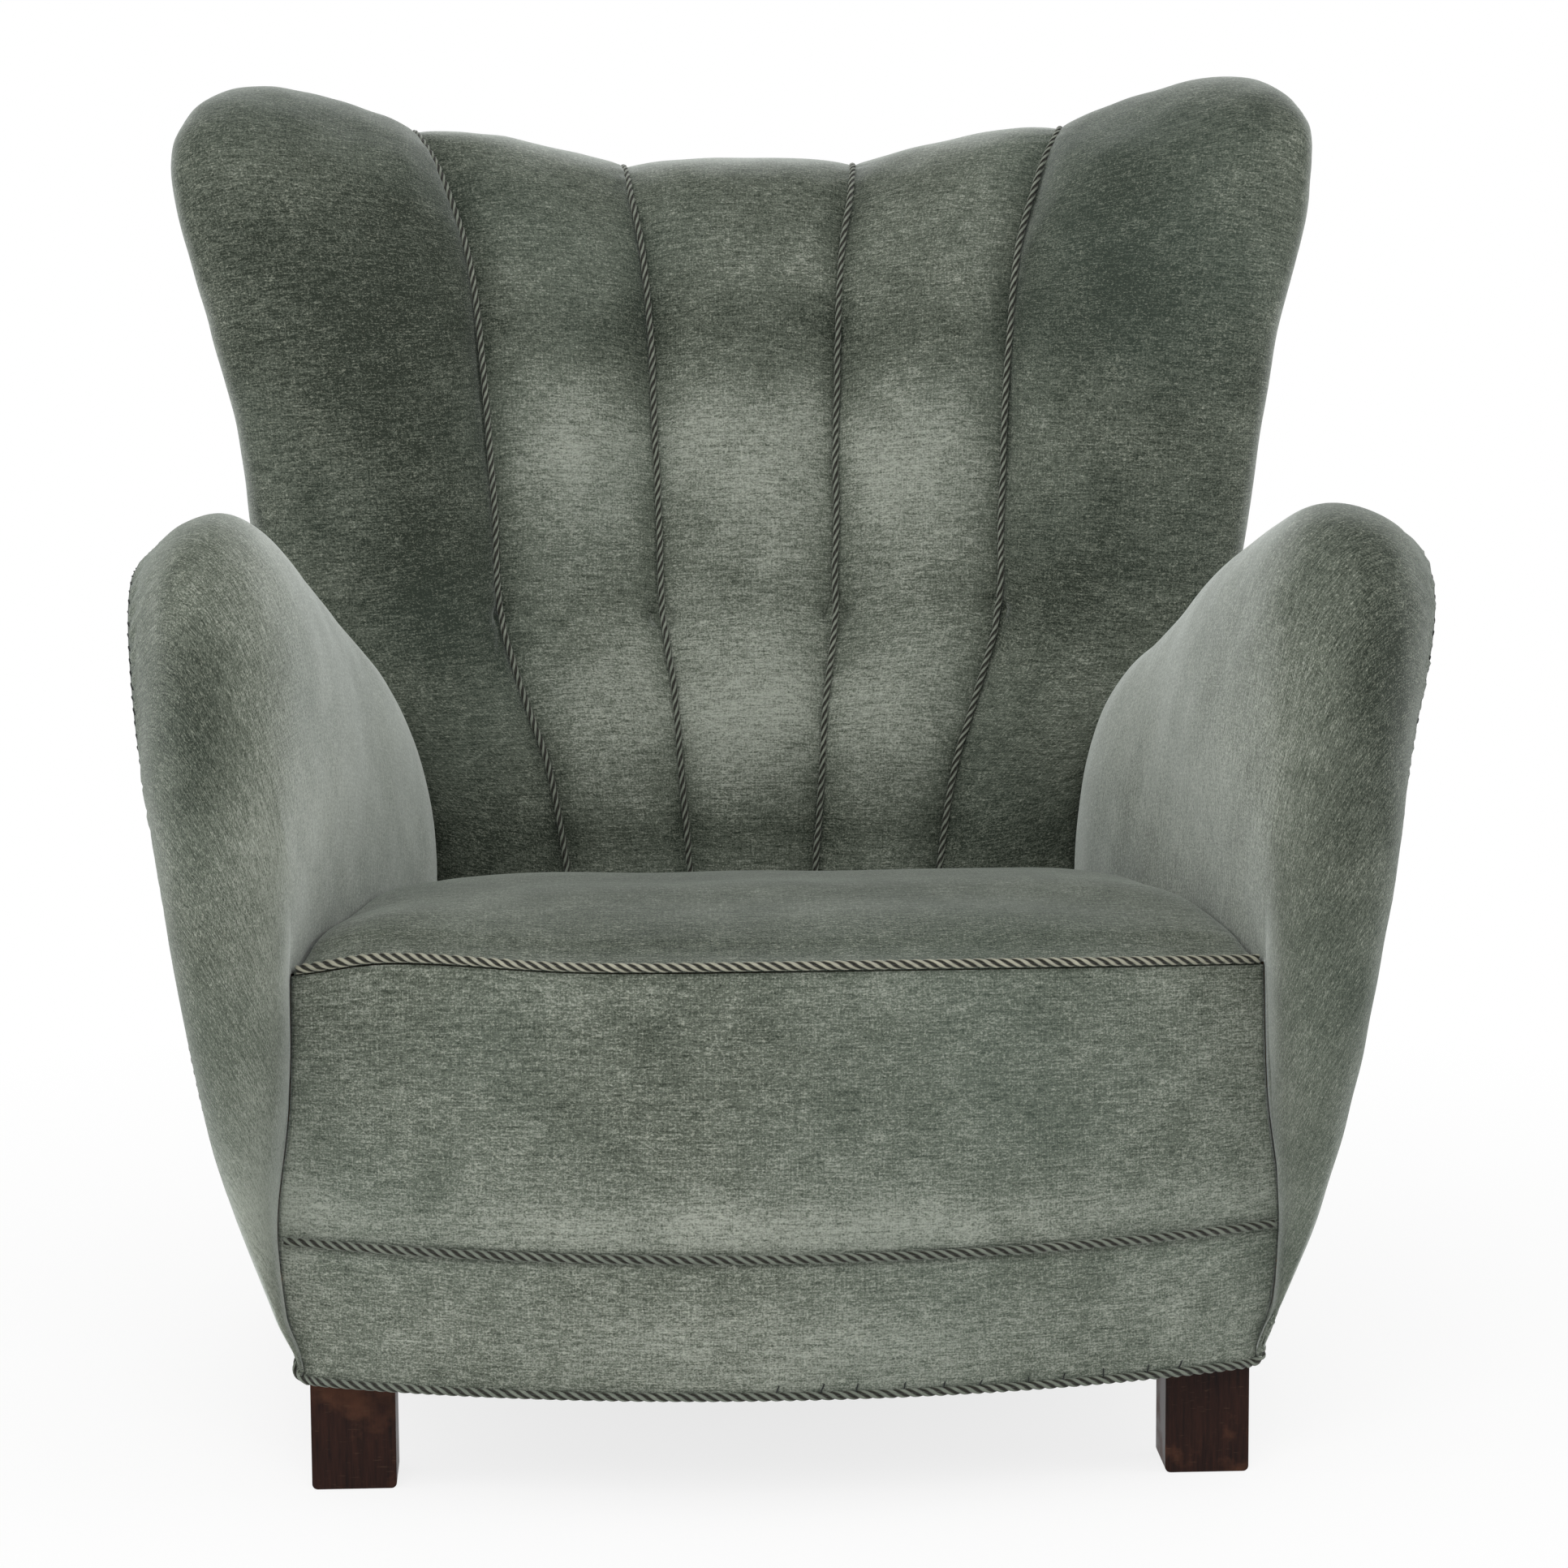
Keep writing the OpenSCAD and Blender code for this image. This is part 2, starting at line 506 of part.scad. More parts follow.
module cover(grid) slab(grid, inset(grid, cover_t));

module dowel_hole(length) cylinder(d = dowel_d + 2 * dowel_play, h = length, center = true, $fn = 20);
module dowel(length) cylinder(d = dowel_d, h = length - 2 * fit, center = true, $fn = 20);

// Where each dowel sits: one corner of the seat frame holds two pairs
dowel_zs = [frame_z + dowel_l / 2 + dowel_d, rail_top_z - 1.5 * dowel_d];
module at_rail_dowels() {
    for (z = dowel_zs) {
        translate([side_rail_x + rail_t / 2, on_bow(side_rail_x + rail_t / 2, rail_inner_r), z])
            rotate([90, 0, 0]) children();
        translate([side_rail_x + rail_t / 2, rear_rail_y, z]) rotate([90, 0, 0]) children();
    }
}
module at_leg_dowels() {
    for (x = leg_dowel_xs) {
        translate([x, front_dowel_y, frame_z]) children();
        translate([x, rear_dowel_y, frame_z]) children();
    }
}
module at_stile_dowels() {
    translate([stile_x + stile_t / 2, rear_rail_y + rail_t / 2, rail_top_z]) children();
    translate([stile_x + stile_t / 2, stile_front_y(frame_top_z - cross_rail_h) + stile_d / 2,
        frame_top_z - cross_rail_h]) children();
}
rail_dowel_l = 1.6 * rail_t;

module front_rail() {
    color(beech) difference() {
        translate([0, 0, frame_z]) linear_extrude(rail_h) intersection() {
            translate([0, bow_centre_y]) difference() {
                circle(r = rail_r, $fn = 180);
                circle(r = rail_inner_r, $fn = 180);
            }
            translate([-frame_half, front_y]) square([2 * frame_half, overall_d / 2]);
        }
        both() at_rail_dowels() dowel_hole(rail_dowel_l);
    }
}

module rear_rail() {
    color(beech) difference() {
        translate([-frame_half, rear_rail_y, frame_z]) cube([2 * frame_half, rail_t, rail_h]);
        both() {
            at_rail_dowels() dowel_hole(rail_dowel_l);
            at_stile_dowels() dowel_hole(dowel_l);
        }
    }
}

// What lies behind the front rail
module behind_front_rail(h) {
    translate([0, bow_centre_y, frame_z - fit])
        cylinder(r = rail_inner_r - fit / 2, h = h + 2 * fit, $fn = 180);
}

module side_rail() {
    color(beech) difference() {
        intersection() {
            translate([side_rail_x, front_y, frame_z]) cube([rail_t, rear_rail_y - front_y, rail_h]);
            behind_front_rail(rail_h);
        }
        at_rail_dowels() dowel_hole(rail_dowel_l);
        at_leg_dowels() dowel_hole(dowel_l);
    }
}
module side_rail_right() side_rail();
module side_rail_left() mirrored() side_rail();

module corner_blocks() {
    color(beech) both() {
        difference() {
            intersection() {
                translate([block_x, front_y, frame_z]) cube([block_l, block_rear_y - front_y, rail_h]);
                behind_front_rail(rail_h);
            }
            at_leg_dowels() dowel_hole(dowel_l);
        }
        difference() {
            translate([block_x, rear_rail_y - block_l, frame_z]) cube([block_l, block_l, rail_h]);
            at_leg_dowels() dowel_hole(dowel_l);
        }
    }
}

// A leg's face, with the corners of its foot rounded
module leg_face(w) {
    translate([-w / 2, leg_round]) square([w, frame_z - leg_round]);
    translate([leg_round - w / 2, 0]) square([w - 2 * leg_round, 2 * leg_round]);
    for (x = [leg_round - w / 2, w / 2 - leg_round])
        translate([x, leg_round]) circle(r = leg_round, $fn = 20);
}
module front_leg() {
    color(stained_oak) difference() {
        translate([leg_x, leg_y + leg_d, 0]) rotate([90, 0, 0]) linear_extrude(leg_d) leg_face(leg_w);
        at_leg_dowels() dowel_hole(dowel_l);
    }
}
module front_leg_right() front_leg();
module front_leg_left() mirrored() front_leg();

module rear_leg() {
    top_d = leg_d * rear_top_share;
    heel_y = rear_leg_y + top_d + rear_leg_kick;
    color(stained_oak) difference() {
        translate([leg_x - leg_w * rear_top_share / 2, 0, 0]) rotate([90, 0, 90])
            linear_extrude(leg_w * rear_top_share)
            polygon([[heel_y - rear_foot, 0], [heel_y, 0], [rear_leg_y + top_d, frame_z],
                [rear_leg_y, frame_z]]);
        at_leg_dowels() dowel_hole(dowel_l);
    }
}
module rear_leg_right() rear_leg();
module rear_leg_left() mirrored() rear_leg();

module leg_dowels() { color(beech) both() at_leg_dowels() dowel(dowel_l); }
module frame_dowels() {
    color(beech) both() {
        at_rail_dowels() dowel(rail_dowel_l);
        at_stile_dowels() dowel(dowel_l);
    }
}

// A timber of the back frame, given by the heights of its level cuts
module leaning(x, w, z0, z1) {
    translate([x, 0, 0]) rotate([90, 0, 90]) linear_extrude(w) polygon([[stile_front_y(z0), z0],
        [stile_rear_y(z0), z0], [stile_rear_y(z1), z1], [stile_front_y(z1), z1]]);
}
module back_stile() {
    color(beech) difference() {
        leaning(stile_x, stile_t, rail_top_z, frame_top_z - cross_rail_h);
        at_stile_dowels() dowel_hole(dowel_l);
    }
}
module back_stile_right() back_stile();
module back_stile_left() mirrored() back_stile();
module back_top_rail() {
    color(beech) difference() {
        leaning(-stile_x - stile_t, 2 * (stile_x + stile_t), frame_top_z - cross_rail_h, frame_top_z);
        both() at_stile_dowels() dowel_hole(dowel_l);
    }
}
module back_lower_rail() {
    color(beech) leaning(-stile_x, 2 * stile_x, lower_rail_z, lower_rail_z + cross_rail_h);
}

// Boards that carry the wings, set at an angle to the stiles. Outline: reach, then level.
wing_board_shares = [[0, 2.2], [0.37, 2.4], [0.704, 3.1], [1, 3.6], [0.926, 3.72], [0, 3.5]];
wing_board_tip_share = 1.2315;
wing_board_forward_share = 0.4035;
module wing_board() {
    foot_z = up(wing_board_shares[0][1]);
    side_x = stile_x + stile_t;
    run = [across(wing_board_tip_share) - side_x, wing_board_forward_share * (overall_d - seat_d)];
    reach = norm(run);
    wing_turn = atan2(run.y, run.x);
    color(beech) intersection() {
        translate([side_x, stile_front_y(foot_z) + 0.6 * board_t, foot_z]) rotate([-back_rake, 0, 0])
            rotate([90, 0, -wing_turn]) linear_extrude(board_t)
            polygon([for (s = wing_board_shares)
                [s[0] > 0 ? s[0] * reach : -board_t, up(s[1]) - foot_z]]);
        translate([side_x, 0, foot_z - cut / 2]) cube([cut, cut, cut]);
    }
}
module wing_board_right() wing_board();
module wing_board_left() mirrored() wing_board();

// Boards that carry the arms' noses and stand on the side rails
arm_board_shares = [[1.2, 1.72], [1.5, 2.105], [1.64, 2.42], [1.6, 2.6], [1.45, 2.65], [1.3, 2.6],
    [1.2, 2.37], [1.1, 2.04], [0.985, 1.72]];
arm_board_depth_share = 0.275;
arm_board_y = along(arm_board_depth_share);
module arm_board() {
    color(beech) translate([0, arm_board_y + board_t, 0]) rotate([90, 0, 0]) linear_extrude(board_t)
        polygon(concat([[side_rail_x, rail_top_z], [frame_half, rail_top_z]],
            [for (s = arm_board_shares) [across(s[0]), up(s[1])]]));
}
module arm_board_right() arm_board();
module arm_board_left() mirrored() arm_board();

// A rail between an arm board and the stile behind it, cut flush at both
module arm_length_rail(front, rear, h) {
    run = rear - front;
    length = norm(run);
    turn = atan2(-run.x, run.y);
    drop = asin(run.z / length);
    color(beech) difference() {
        translate(front) rotate([0, 0, turn]) rotate([drop, 0, 0])
            translate([-arm_rail_w / 2, -board_t, -h / 2]) cube([arm_rail_w, length + 2 * board_t, h]);
        translate([0, arm_board_y + board_t - cut, 0]) cube([cut, cut, cut]);
        translate([0, stile_front_y(rear.z), rear.z]) rotate([-back_rake, 0, 0])
            translate([0, 0, -cut / 2]) cube([cut, cut, cut]);
    }
}
arm_rail_reach_share = 1.42;
arm_rail_level_shares = [2.4, 1.88];
arm_rail_zs = [for (s = arm_rail_level_shares) up(s)];
arm_rail_ends = [[across(arm_rail_reach_share), arm_board_y + board_t, arm_rail_zs[0]],
    [stile_x + stile_t / 2, stile_front_y(arm_rail_zs[1]), arm_rail_zs[1]]];
tacking_rail_z = low_z - fit - arm_rail_h / 2 - cover_t;
tacking_reach_share = 1.02;
tacking_rail_ends = [[across(tacking_reach_share), arm_board_y + board_t, tacking_rail_z],
    [stile_x + stile_t / 2, stile_front_y(tacking_rail_z), tacking_rail_z]];
module arm_rail_right() arm_length_rail(arm_rail_ends[0], arm_rail_ends[1], arm_rail_h);
module arm_rail_left() mirrored() arm_rail_right();
module tacking_rail_right() arm_length_rail(tacking_rail_ends[0], tacking_rail_ends[1], arm_rail_h);
module tacking_rail_left() mirrored() tacking_rail_right();

// The seat's webbing, springs and hessian
spring_xs = [-1, 0, 1];
spring_pitch_x = spring_d + web_w;
spring_pitch_y = 1.5 * spring_d;
spring_mid_share = 0.56;
spring_mid_y = along(spring_mid_share);
seat_hessian_z = up(at(side_edge_shares, 1)) - seat_pad;
web_front_y = on_bow(spring_pitch_x + web_w, rail_inner_r);
module seat_webbing_long() {
    color(jute) for (i = spring_xs)
        translate([i * spring_pitch_x - web_w / 2, web_front_y - rail_t / 2, frame_z - web_t])
        cube([web_w, rear_rail_y + rail_t - web_front_y, web_t]);
}
module seat_webbing_cross() {
    color(jute) for (i = spring_xs) translate([-frame_half + rail_t / 2,
        spring_mid_y + i * spring_pitch_y - web_w / 2, frame_z - 2 * web_t])
        cube([2 * frame_half - rail_t, web_w, web_t]);
}

// A waisted coil that stands on Z
coil_ease_share = 0.35;
function coil_route(height, turns, end_d, waist_d, wire) = [for (k = [0:turns * coil_rings])
    let (t = k / (turns * coil_rings), a = 360 * k / coil_rings)
    let (r = (mix(waist_d, end_d, pow(2 * t - 1, 2)) - wire) / 2)
    let (rise = (height - wire - 2 * fit) * mix(t, eased(t), coil_ease_share))
    [r * cos(a), r * sin(a), wire / 2 + fit + rise]];
module coil(height, turns, end_d, waist_d, wire) {
    route = coil_route(height, turns, end_d, waist_d, wire);
    tube(route, [for (p = route) unit([p.x, p.y, 0])], wire / 2, wire_sides);
}
function coil_gap(route, wire) = min([for (i = [0:len(route) - 1 - coil_rings])
    norm(route[i + coil_rings] - route[i])]) - wire;

spring_h = seat_hessian_z - frame_z;
module seat_springs() {
    color(steel) for (i = spring_xs, j = spring_xs)
        translate([i * spring_pitch_x, spring_mid_y + j * spring_pitch_y, frame_z])
        coil(spring_h, spring_turns, spring_d, spring_waist_d, spring_wire);
}
seat_coil = coil_route(spring_h, spring_turns, spring_d, spring_waist_d, spring_wire);
echo(seat_spring_gap = coil_gap(seat_coil, spring_wire));

hessian_margin = 3 * cover_t;
hessian_edge_shares = [0.15, 0.5, 0.75, 0.97];
module seat_hessian() {
    edge = [for (v = hessian_edge_shares) side_line(v) - [hessian_margin, 0]];
    color(jute) translate([0, 0, seat_hessian_z]) linear_extrude(cloth_t)
        polygon(concat(edge, [for (i = [3:-1:0]) [-edge[i].x, edge[i].y]]));
}

// The back's webbing, springs and hessian
module in_back_plane(z) {
    translate([0, stile_front_y(z), z]) rotate([-back_rake, 0, 0]) children();
}
back_spring_level_shares = [2.27, 2.88];
back_spring_zs = [for (s = back_spring_level_shares) up(s)];
module back_webbing_long() {
    length = (frame_top_z - lower_rail_z) / cos(back_rake);
    color(jute) in_back_plane(lower_rail_z) for (i = spring_xs)
        translate([i * spring_pitch_x - web_w / 2, -web_t, 0]) cube([web_w, web_t, length]);
}
module back_webbing_cross() {
    color(jute) for (z = back_spring_zs) in_back_plane(z)
        translate([-stile_x - stile_t, -2 * web_t, -web_w / 2])
            cube([2 * (stile_x + stile_t), web_t, web_w]);
}
function back_spring_l(z) = (stile_front_y(z) - 2 * web_t - hessian_y(z)) * cos(back_rake)
    - cloth_t - back_spring_d / 2 * abs(hessian_lean - lean);
module back_springs() {
    color(steel) for (z = back_spring_zs, i = spring_xs) in_back_plane(z)
        translate([i * spring_pitch_x, -2 * web_t, 0]) rotate([90, 0, 0])
        coil(back_spring_l(z), back_spring_turns, back_spring_d, back_spring_d, back_spring_wire);
}
back_coil = coil_route(back_spring_l(back_spring_zs[1]), back_spring_turns, back_spring_d,
    back_spring_d, back_spring_wire);
echo(back_spring_gap = coil_gap(back_coil, back_spring_wire));
module back_hessian() {
    half = at(outer_seam, 0.5).x;
    tilt = atan(hessian_lean);
    color(jute) translate([-half, hessian_y(low_z), low_z]) rotate([-tilt, 0, 0])
        cube([2 * half, cloth_t, (frame_top_z - cross_rail_h - low_z) / cos(tilt)]);
}

// Stuffing. The channels' stuffing is flat on the hessian and goes round the top rail.
channel_grids = [[inner_seam_left, inner_seam], [inner_seam, outer_seam]];
roll_start_share = 0.68;
function channel_back(seams) =
    let (g = lay(back_rows, channel_cols, function (t, s) channel_base(seams[0], seams[1], t, s)))
    let (deep = inset(g, tuck + back_pad))
    [for (i = [0:back_rows]) let (over = (i / back_rows - roll_start_share) / (1 - roll_start_share))
        [for (j = [0:channel_cols]) over < 0 ? [g[i][j].x, hessian_y(g[i][j].z) - fit, g[i][j].z]
            : mix(g[i][j], deep[i][j], mix(1, roll_end_share, over))]];
roll_end_share = 0.3;
module channel_stuffing() {
    color(fibre) {
        slab(shortened(inset(centre_grid, tuck)), shortened(channel_back(channel_grids[0])));
        both() slab(shortened(inset(side_grid, tuck)), shortened(channel_back(channel_grids[1])));
    }
}
function pulled(g, j) = [for (row = g) [for (k = [0:len(row) - 1]) k == j
    ? row[j] + unit(row[len(row) - 1 - j] - row[j]) * 3 * tuck : row[k]]];
function shortened(g) = let (n = len(g) - 1)
    [for (i = [0:n]) i < n ? g[i]
        : [for (j = [0:len(g[0]) - 1]) mix(g[n][j], g[n - 1][j], short_share)]];
short_share = 0.15;
module wing_stuffing() {
    outer = shortened(pulled(inset(wing_grid, tuck), wing_cols));
    color(fibre) slab(outer, cored(outer));
}
module wing_stuffing_right() wing_stuffing();
module wing_stuffing_left() mirrored() wing_stuffing();
// The arm's stuffing ends a few rows above the hem, where the cover alone runs on to the rail
bare_rows = 2;
function padded_rows(g) = [for (i = [0:arm_rows - bare_rows]) g[i]];
module arm_stuffing() {
    outer = arm_lining(pulled(inset(arm_grid, tuck), 0));
    color(fibre) slab(padded_rows(outer), padded_rows(arm_lining(cored(outer))));
}
module arm_stuffing_right() arm_stuffing();
module arm_stuffing_left() mirrored() arm_stuffing();

// Stuffing under the seat cover, behind the padding of the front
module seat_stuffing() {
    top = [for (row = inset(seat_grid, tuck)) [for (p = row)
        [p.x, max(p.y, on_bow(p.x, rail_r) + fit), p.z]]];
    color(fibre) slab(top, [for (row = top) [for (p = row) [p.x, p.y, seat_hessian_z + cloth_t + fit]]]);
}

// Padding between the front rail and the covers of the border and the apron
pad_foot = (frame_z + fit - hem_seam_z) / (border_line_h - hem_seam_z);
pad_top = 2 - 2 * cover_t / (seat_h - border_line_h);
pad_rows = concat([for (i = [0:apron_rows]) mix(pad_foot, 1, eased(i / apron_rows))],
    [for (i = [1:border_rows]) mix(1, pad_top, eased(i / border_rows))]);
module front_padding() {
    face = [for (c = pad_rows) [for (j = [0:front_cols]) front_point(c, 2 * j / front_cols - 1)]];
    outer = inset(face, tuck + 2 * fit);
    inner = [for (row = face) [for (j = [0:front_cols])
        let (x = row[j].x - (2 * j / front_cols - 1) * 2 * cover_t)
        [x, on_bow(x, rail_r + 3 * fit), row[j].z]]];
    color(fibre) slab(outer, inner);
}

module channel_cover_centre() { color(velour) cover(centre_grid); }
module channel_cover_right() { color(velour) cover(side_grid); }
module channel_cover_left() mirrored() channel_cover_right();
module wing_cover_right() { color(velour_dark) cover(wing_grid); }
module wing_cover_left() mirrored() wing_cover_right();
module inside_arm_cover_right() { color(velour) slab(arm_grid, arm_lining(inset(arm_grid, cover_t))); }
module inside_arm_cover_left() mirrored() inside_arm_cover_right();
module outside_arm_cover_right() { color(velour) cover(panel_grid); }
module outside_arm_cover_left() mirrored() outside_arm_cover_right();
module outside_back_cover() { color(velour) cover(rear_grid); }
module seat_cover() { color(velour_dark) cover(seat_grid); }
module front_border() { color(velour) cover(border_grid); }
module apron_band() { color(velour) cover(apron_grid); }

// The dust cover under the frame, cut out round the legs, and the tacks that hold it
dust_z = frame_z - 2 * web_t - cloth_t;
tack_line = rail_t / 2;
module dust_cover() {
    color(black_cloth) translate([0, 0, dust_z]) linear_extrude(cloth_t) difference() {
        intersection() {
            translate([0, bow_centre_y]) circle(r = rail_r - tack_line / 2, $fn = 180);
            translate([tack_line / 2 - frame_half, front_y]) square([2 * frame_half - tack_line,
                rear_rail_y + rail_t - front_y - tack_line / 2]);
        }
        for (side = [-1, 1]) {
            translate([side * leg_x - leg_w / 2 - fit, leg_y - fit])
                square([leg_w + 2 * fit, leg_d + 2 * fit]);
            translate([side * leg_x - leg_w * rear_top_share / 2 - fit, rear_leg_y - fit])
                square([leg_w * rear_top_share + 2 * fit, leg_d * rear_top_share + rear_leg_kick / 8]);
        }
    }
}
module tack() { translate([0, 0, dust_z - tack_h]) cylinder(d = tack_d, h = tack_h, $fn = 16); }
module dust_cover_tacks() {
    y0 = leg_y + leg_d + tack_d;
    y1 = rear_leg_y - tack_d;
    x1 = leg_x - leg_w / 2 - 2 * tack_d;
    color(steel) for (i = [0:tacks_a_side - 1]) {
        w = i / (tacks_a_side - 1);
        both() translate([frame_half - tack_line, mix(y0, y1, w), 0]) tack();
        translate([mix(-x1, x1, w), rear_rail_y + rail_t - tack_line, 0]) tack();
        translate([mix(-x1, x1, w), on_bow(mix(-x1, x1, w), rail_r - tack_line), 0]) tack();
    }
}

// Twisted cords, sewn into the seams. In a valley a cord lies against both covers, and over a
// corner it stands off the seam by its own radius.
function seated(seam, flank, out, r) =
    let (side = unit(flank - seam), n = unit(out))
    seam + n * (r + fit) / (side * n > 0 ? max(norm(cross(side, n)), fold_share) : 1);
module valley_cord(left, right, d, sides) {
    n = len(left[0]) - 1;
    outs = [for (i = [0:len(left) - 1]) unit(normal(left, i, n)) + unit(normal(right, i, 0))];
    route = [for (i = [0:len(left) - 1])
        seated((left[i][n] + right[i][0]) / 2, left[i][n - 1], outs[i], d / 2)];
    color(cord_green) tube(route, outs, d / 2, sides);
}
module back_cords_inner() both() valley_cord(centre_grid, side_grid, back_cord_d, back_cord_sides);
module back_cords_outer() both() valley_cord(side_grid, wing_grid, back_cord_d, back_cord_sides);

// A cord along the front: its height share there, which way it stands off, and if it lies in a valley
cord_span_share = 0.985;
module front_cord(c, tilt, lift) {
    us = [for (j = [0:front_cols]) cord_span_share * (2 * j / front_cols - 1)];
    route = [for (u = us) let (p = front_base(c, u))
        p + unit(tilt + [p.x * bow / (half_seat * half_seat), 0, 0]) * (cord_d / 2 + fit) * lift];
    color(cord_green) tube(route, [for (p = route) [0, 0, 1]], cord_d / 2, cord_sides);
}
valley_lift = 1.15;
module seat_cord() front_cord(2, [0, -0.8, 0.6], 1);
module border_cord() front_cord(1, [0, -1, 0], valley_lift);
module hem_cord() front_cord(0, [0, -0.5, -0.87], 1);

front_rail();
rear_rail();
side_rail_left();
side_rail_right();
corner_blocks();
front_leg_left();
front_leg_right();
rear_leg_left();
rear_leg_right();
leg_dowels();
frame_dowels();
back_stile_left();
back_stile_right();
back_top_rail();
back_lower_rail();
wing_board_left();
wing_board_right();
arm_board_left();
arm_board_right();
arm_rail_left();
arm_rail_right();
tacking_rail_left();
tacking_rail_right();
seat_webbing_long();
seat_webbing_cross();
seat_springs();
seat_hessian();
back_webbing_long();
back_webbing_cross();
back_springs();
back_hessian();
seat_stuffing();
front_padding();
channel_stuffing();
wing_stuffing_left();
wing_stuffing_right();
arm_stuffing_left();
arm_stuffing_right();
seat_cover();
front_border();
apron_band();
channel_cover_left();
channel_cover_centre();
channel_cover_right();
wing_cover_left();
wing_cover_right();
inside_arm_cover_left();
inside_arm_cover_right();
outside_arm_cover_left();
outside_arm_cover_right();
outside_back_cover();
dust_cover();
dust_cover_tacks();
seat_cord();
border_cord();
hem_cord();
back_cords_inner();
back_cords_outer();
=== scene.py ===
# %% [markdown]
# # A high back lounge chair in crushed velour
# The chair is a tall channelled back with curved wings, two round-nosed arms, a bowed sprung seat
# and short stained legs. The packed solids give the frame, the springs and the places of all
# soft parts. Here each cover is laid again as a fine surface between the same seams, then
# creased, gathered and crushed by moving its points, and finished with a node-based velour.

# %% Load the frame
import json
import math
import random

import bmesh
import bpy
import numpy as np
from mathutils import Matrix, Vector


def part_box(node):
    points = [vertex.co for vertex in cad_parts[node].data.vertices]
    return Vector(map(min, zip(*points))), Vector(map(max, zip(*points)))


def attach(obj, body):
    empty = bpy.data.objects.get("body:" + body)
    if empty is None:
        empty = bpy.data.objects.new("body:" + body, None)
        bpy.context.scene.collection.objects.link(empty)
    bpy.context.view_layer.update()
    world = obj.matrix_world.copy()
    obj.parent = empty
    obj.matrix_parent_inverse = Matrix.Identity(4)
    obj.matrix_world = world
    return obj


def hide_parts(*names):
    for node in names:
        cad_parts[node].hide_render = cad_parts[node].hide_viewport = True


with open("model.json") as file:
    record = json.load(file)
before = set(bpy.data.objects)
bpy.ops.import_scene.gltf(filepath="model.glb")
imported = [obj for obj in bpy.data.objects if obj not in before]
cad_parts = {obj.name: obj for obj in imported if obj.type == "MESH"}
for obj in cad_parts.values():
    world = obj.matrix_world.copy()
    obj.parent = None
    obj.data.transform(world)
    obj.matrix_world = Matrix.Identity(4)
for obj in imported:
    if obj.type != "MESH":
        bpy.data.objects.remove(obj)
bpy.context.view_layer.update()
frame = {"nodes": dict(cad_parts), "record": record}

# %% [markdown]
# ## The camera
# The photograph is taken a little left of the middle, at the height of the wing tips, from some
# three and a half metres. A long lens at that distance keeps the arms' noses from growing.
# The small roll is the photographer's, not the chair's.

# %% Camera
IMAGE_PX = 1932
FOCAL_PX = 5690
SENSOR_MM = 36
EYE = Vector((-0.146, -3.513, 0.98))
TARGET = Vector((0.019, -0.013, 0.455))
ROLL_DEG = 0.35

lens = bpy.data.cameras.new("camera")
lens.sensor_width = SENSOR_MM
lens.lens = FOCAL_PX / IMAGE_PX * SENSOR_MM
camera = bpy.data.objects.new("camera", lens)
look = (TARGET - EYE).to_track_quat("-Z", "Y").to_matrix().to_4x4()
camera.matrix_world = look
camera.rotation_euler.rotate_axis("Z", math.radians(-ROLL_DEG))
camera.location = EYE
bpy.context.scene.collection.objects.link(camera)
bpy.context.scene.camera = camera
print("lens: %.1f mm" % lens.lens)

# %% [markdown]
# ## Levels
# The upholsterer's measures are few: the hem, the seat's cord, the arm and the wing tips. They
# could be read off the packed solids, but the same few numbers as in the solid part are easier
# to follow, and the fine covers fall where the solid ones are.

# %% Levels, in metres
HALF_WIDTH = 0.46
HALF_SEAT = 0.341
FRONT_Y = -0.425
DEPTH = 0.85
SEAT_DEPTH = 0.545
HEM_Z = 0.076
SEAT_Z = 0.388
ARM_Z = 0.692
TOP_Z = 0.987
BORDER_Z = 0.185
BOW = 0.08
SEAT_CROWN = 0.02
SEAT_DROP = 0.015
BORDER_BULGE = 0.005
CHANNEL_CROWN = 0.023
COVER = 0.0025
FIT = 0.0003
CORD = 0.0076
TUCK = COVER + FIT
print("levels, in mm:", [round(1000 * z) for z in (HEM_Z, BORDER_Z, SEAT_Z, ARM_Z, TOP_Z)])

# %% [markdown]
# ## From shares to places
# A pattern drawn in millimetres has to be drawn again when the chair grows. Shares of a few levels
# could also be kept in a spreadsheet, but three short functions do it here: across, along, up.

# %% Shares
def across(a):
    """0 is the middle, 1 the side of the seat and 2 the outside of the arm."""
    return np.where(a <= 1, a * HALF_SEAT, HALF_SEAT + (a - 1) * (HALF_WIDTH - HALF_SEAT))


def along(b):
    """0 is the front, 1 the seat's rear edge and 2 the rear."""
    far = FRONT_Y + SEAT_DEPTH + (b - 1) * (DEPTH - SEAT_DEPTH)
    return np.where(b <= 1, FRONT_Y + b * SEAT_DEPTH, far)


def up(c):
    """0 is the floor, 1 the hem, 2 the seat's cord, 3 the arm and 4 the wing tips."""
    return np.interp(c, [0, 1, 2, 3, 4, 5], [0, HEM_Z, SEAT_Z, ARM_Z, TOP_Z, 2 * TOP_Z - ARM_Z])


def places(table):
    t = np.array(table, float)
    return np.stack([across(t[:, 0]), along(t[:, 1]), up(t[:, 2])], axis=1)


print("seat cord at %.3f m, arms at %.3f m" % (up(2), up(3)))

# %% [markdown]
# ## Curves
# A seam on the real chair is a line that the upholsterer pulls smooth through a few pinned
# points. Blender's own curves could draw it. Here NumPy does, because a whole surface is then
# worked out at once: a Catmull-Rom curve goes through the pins, and a cubic arch between four
# guides gives the roll of a wing or an arm.

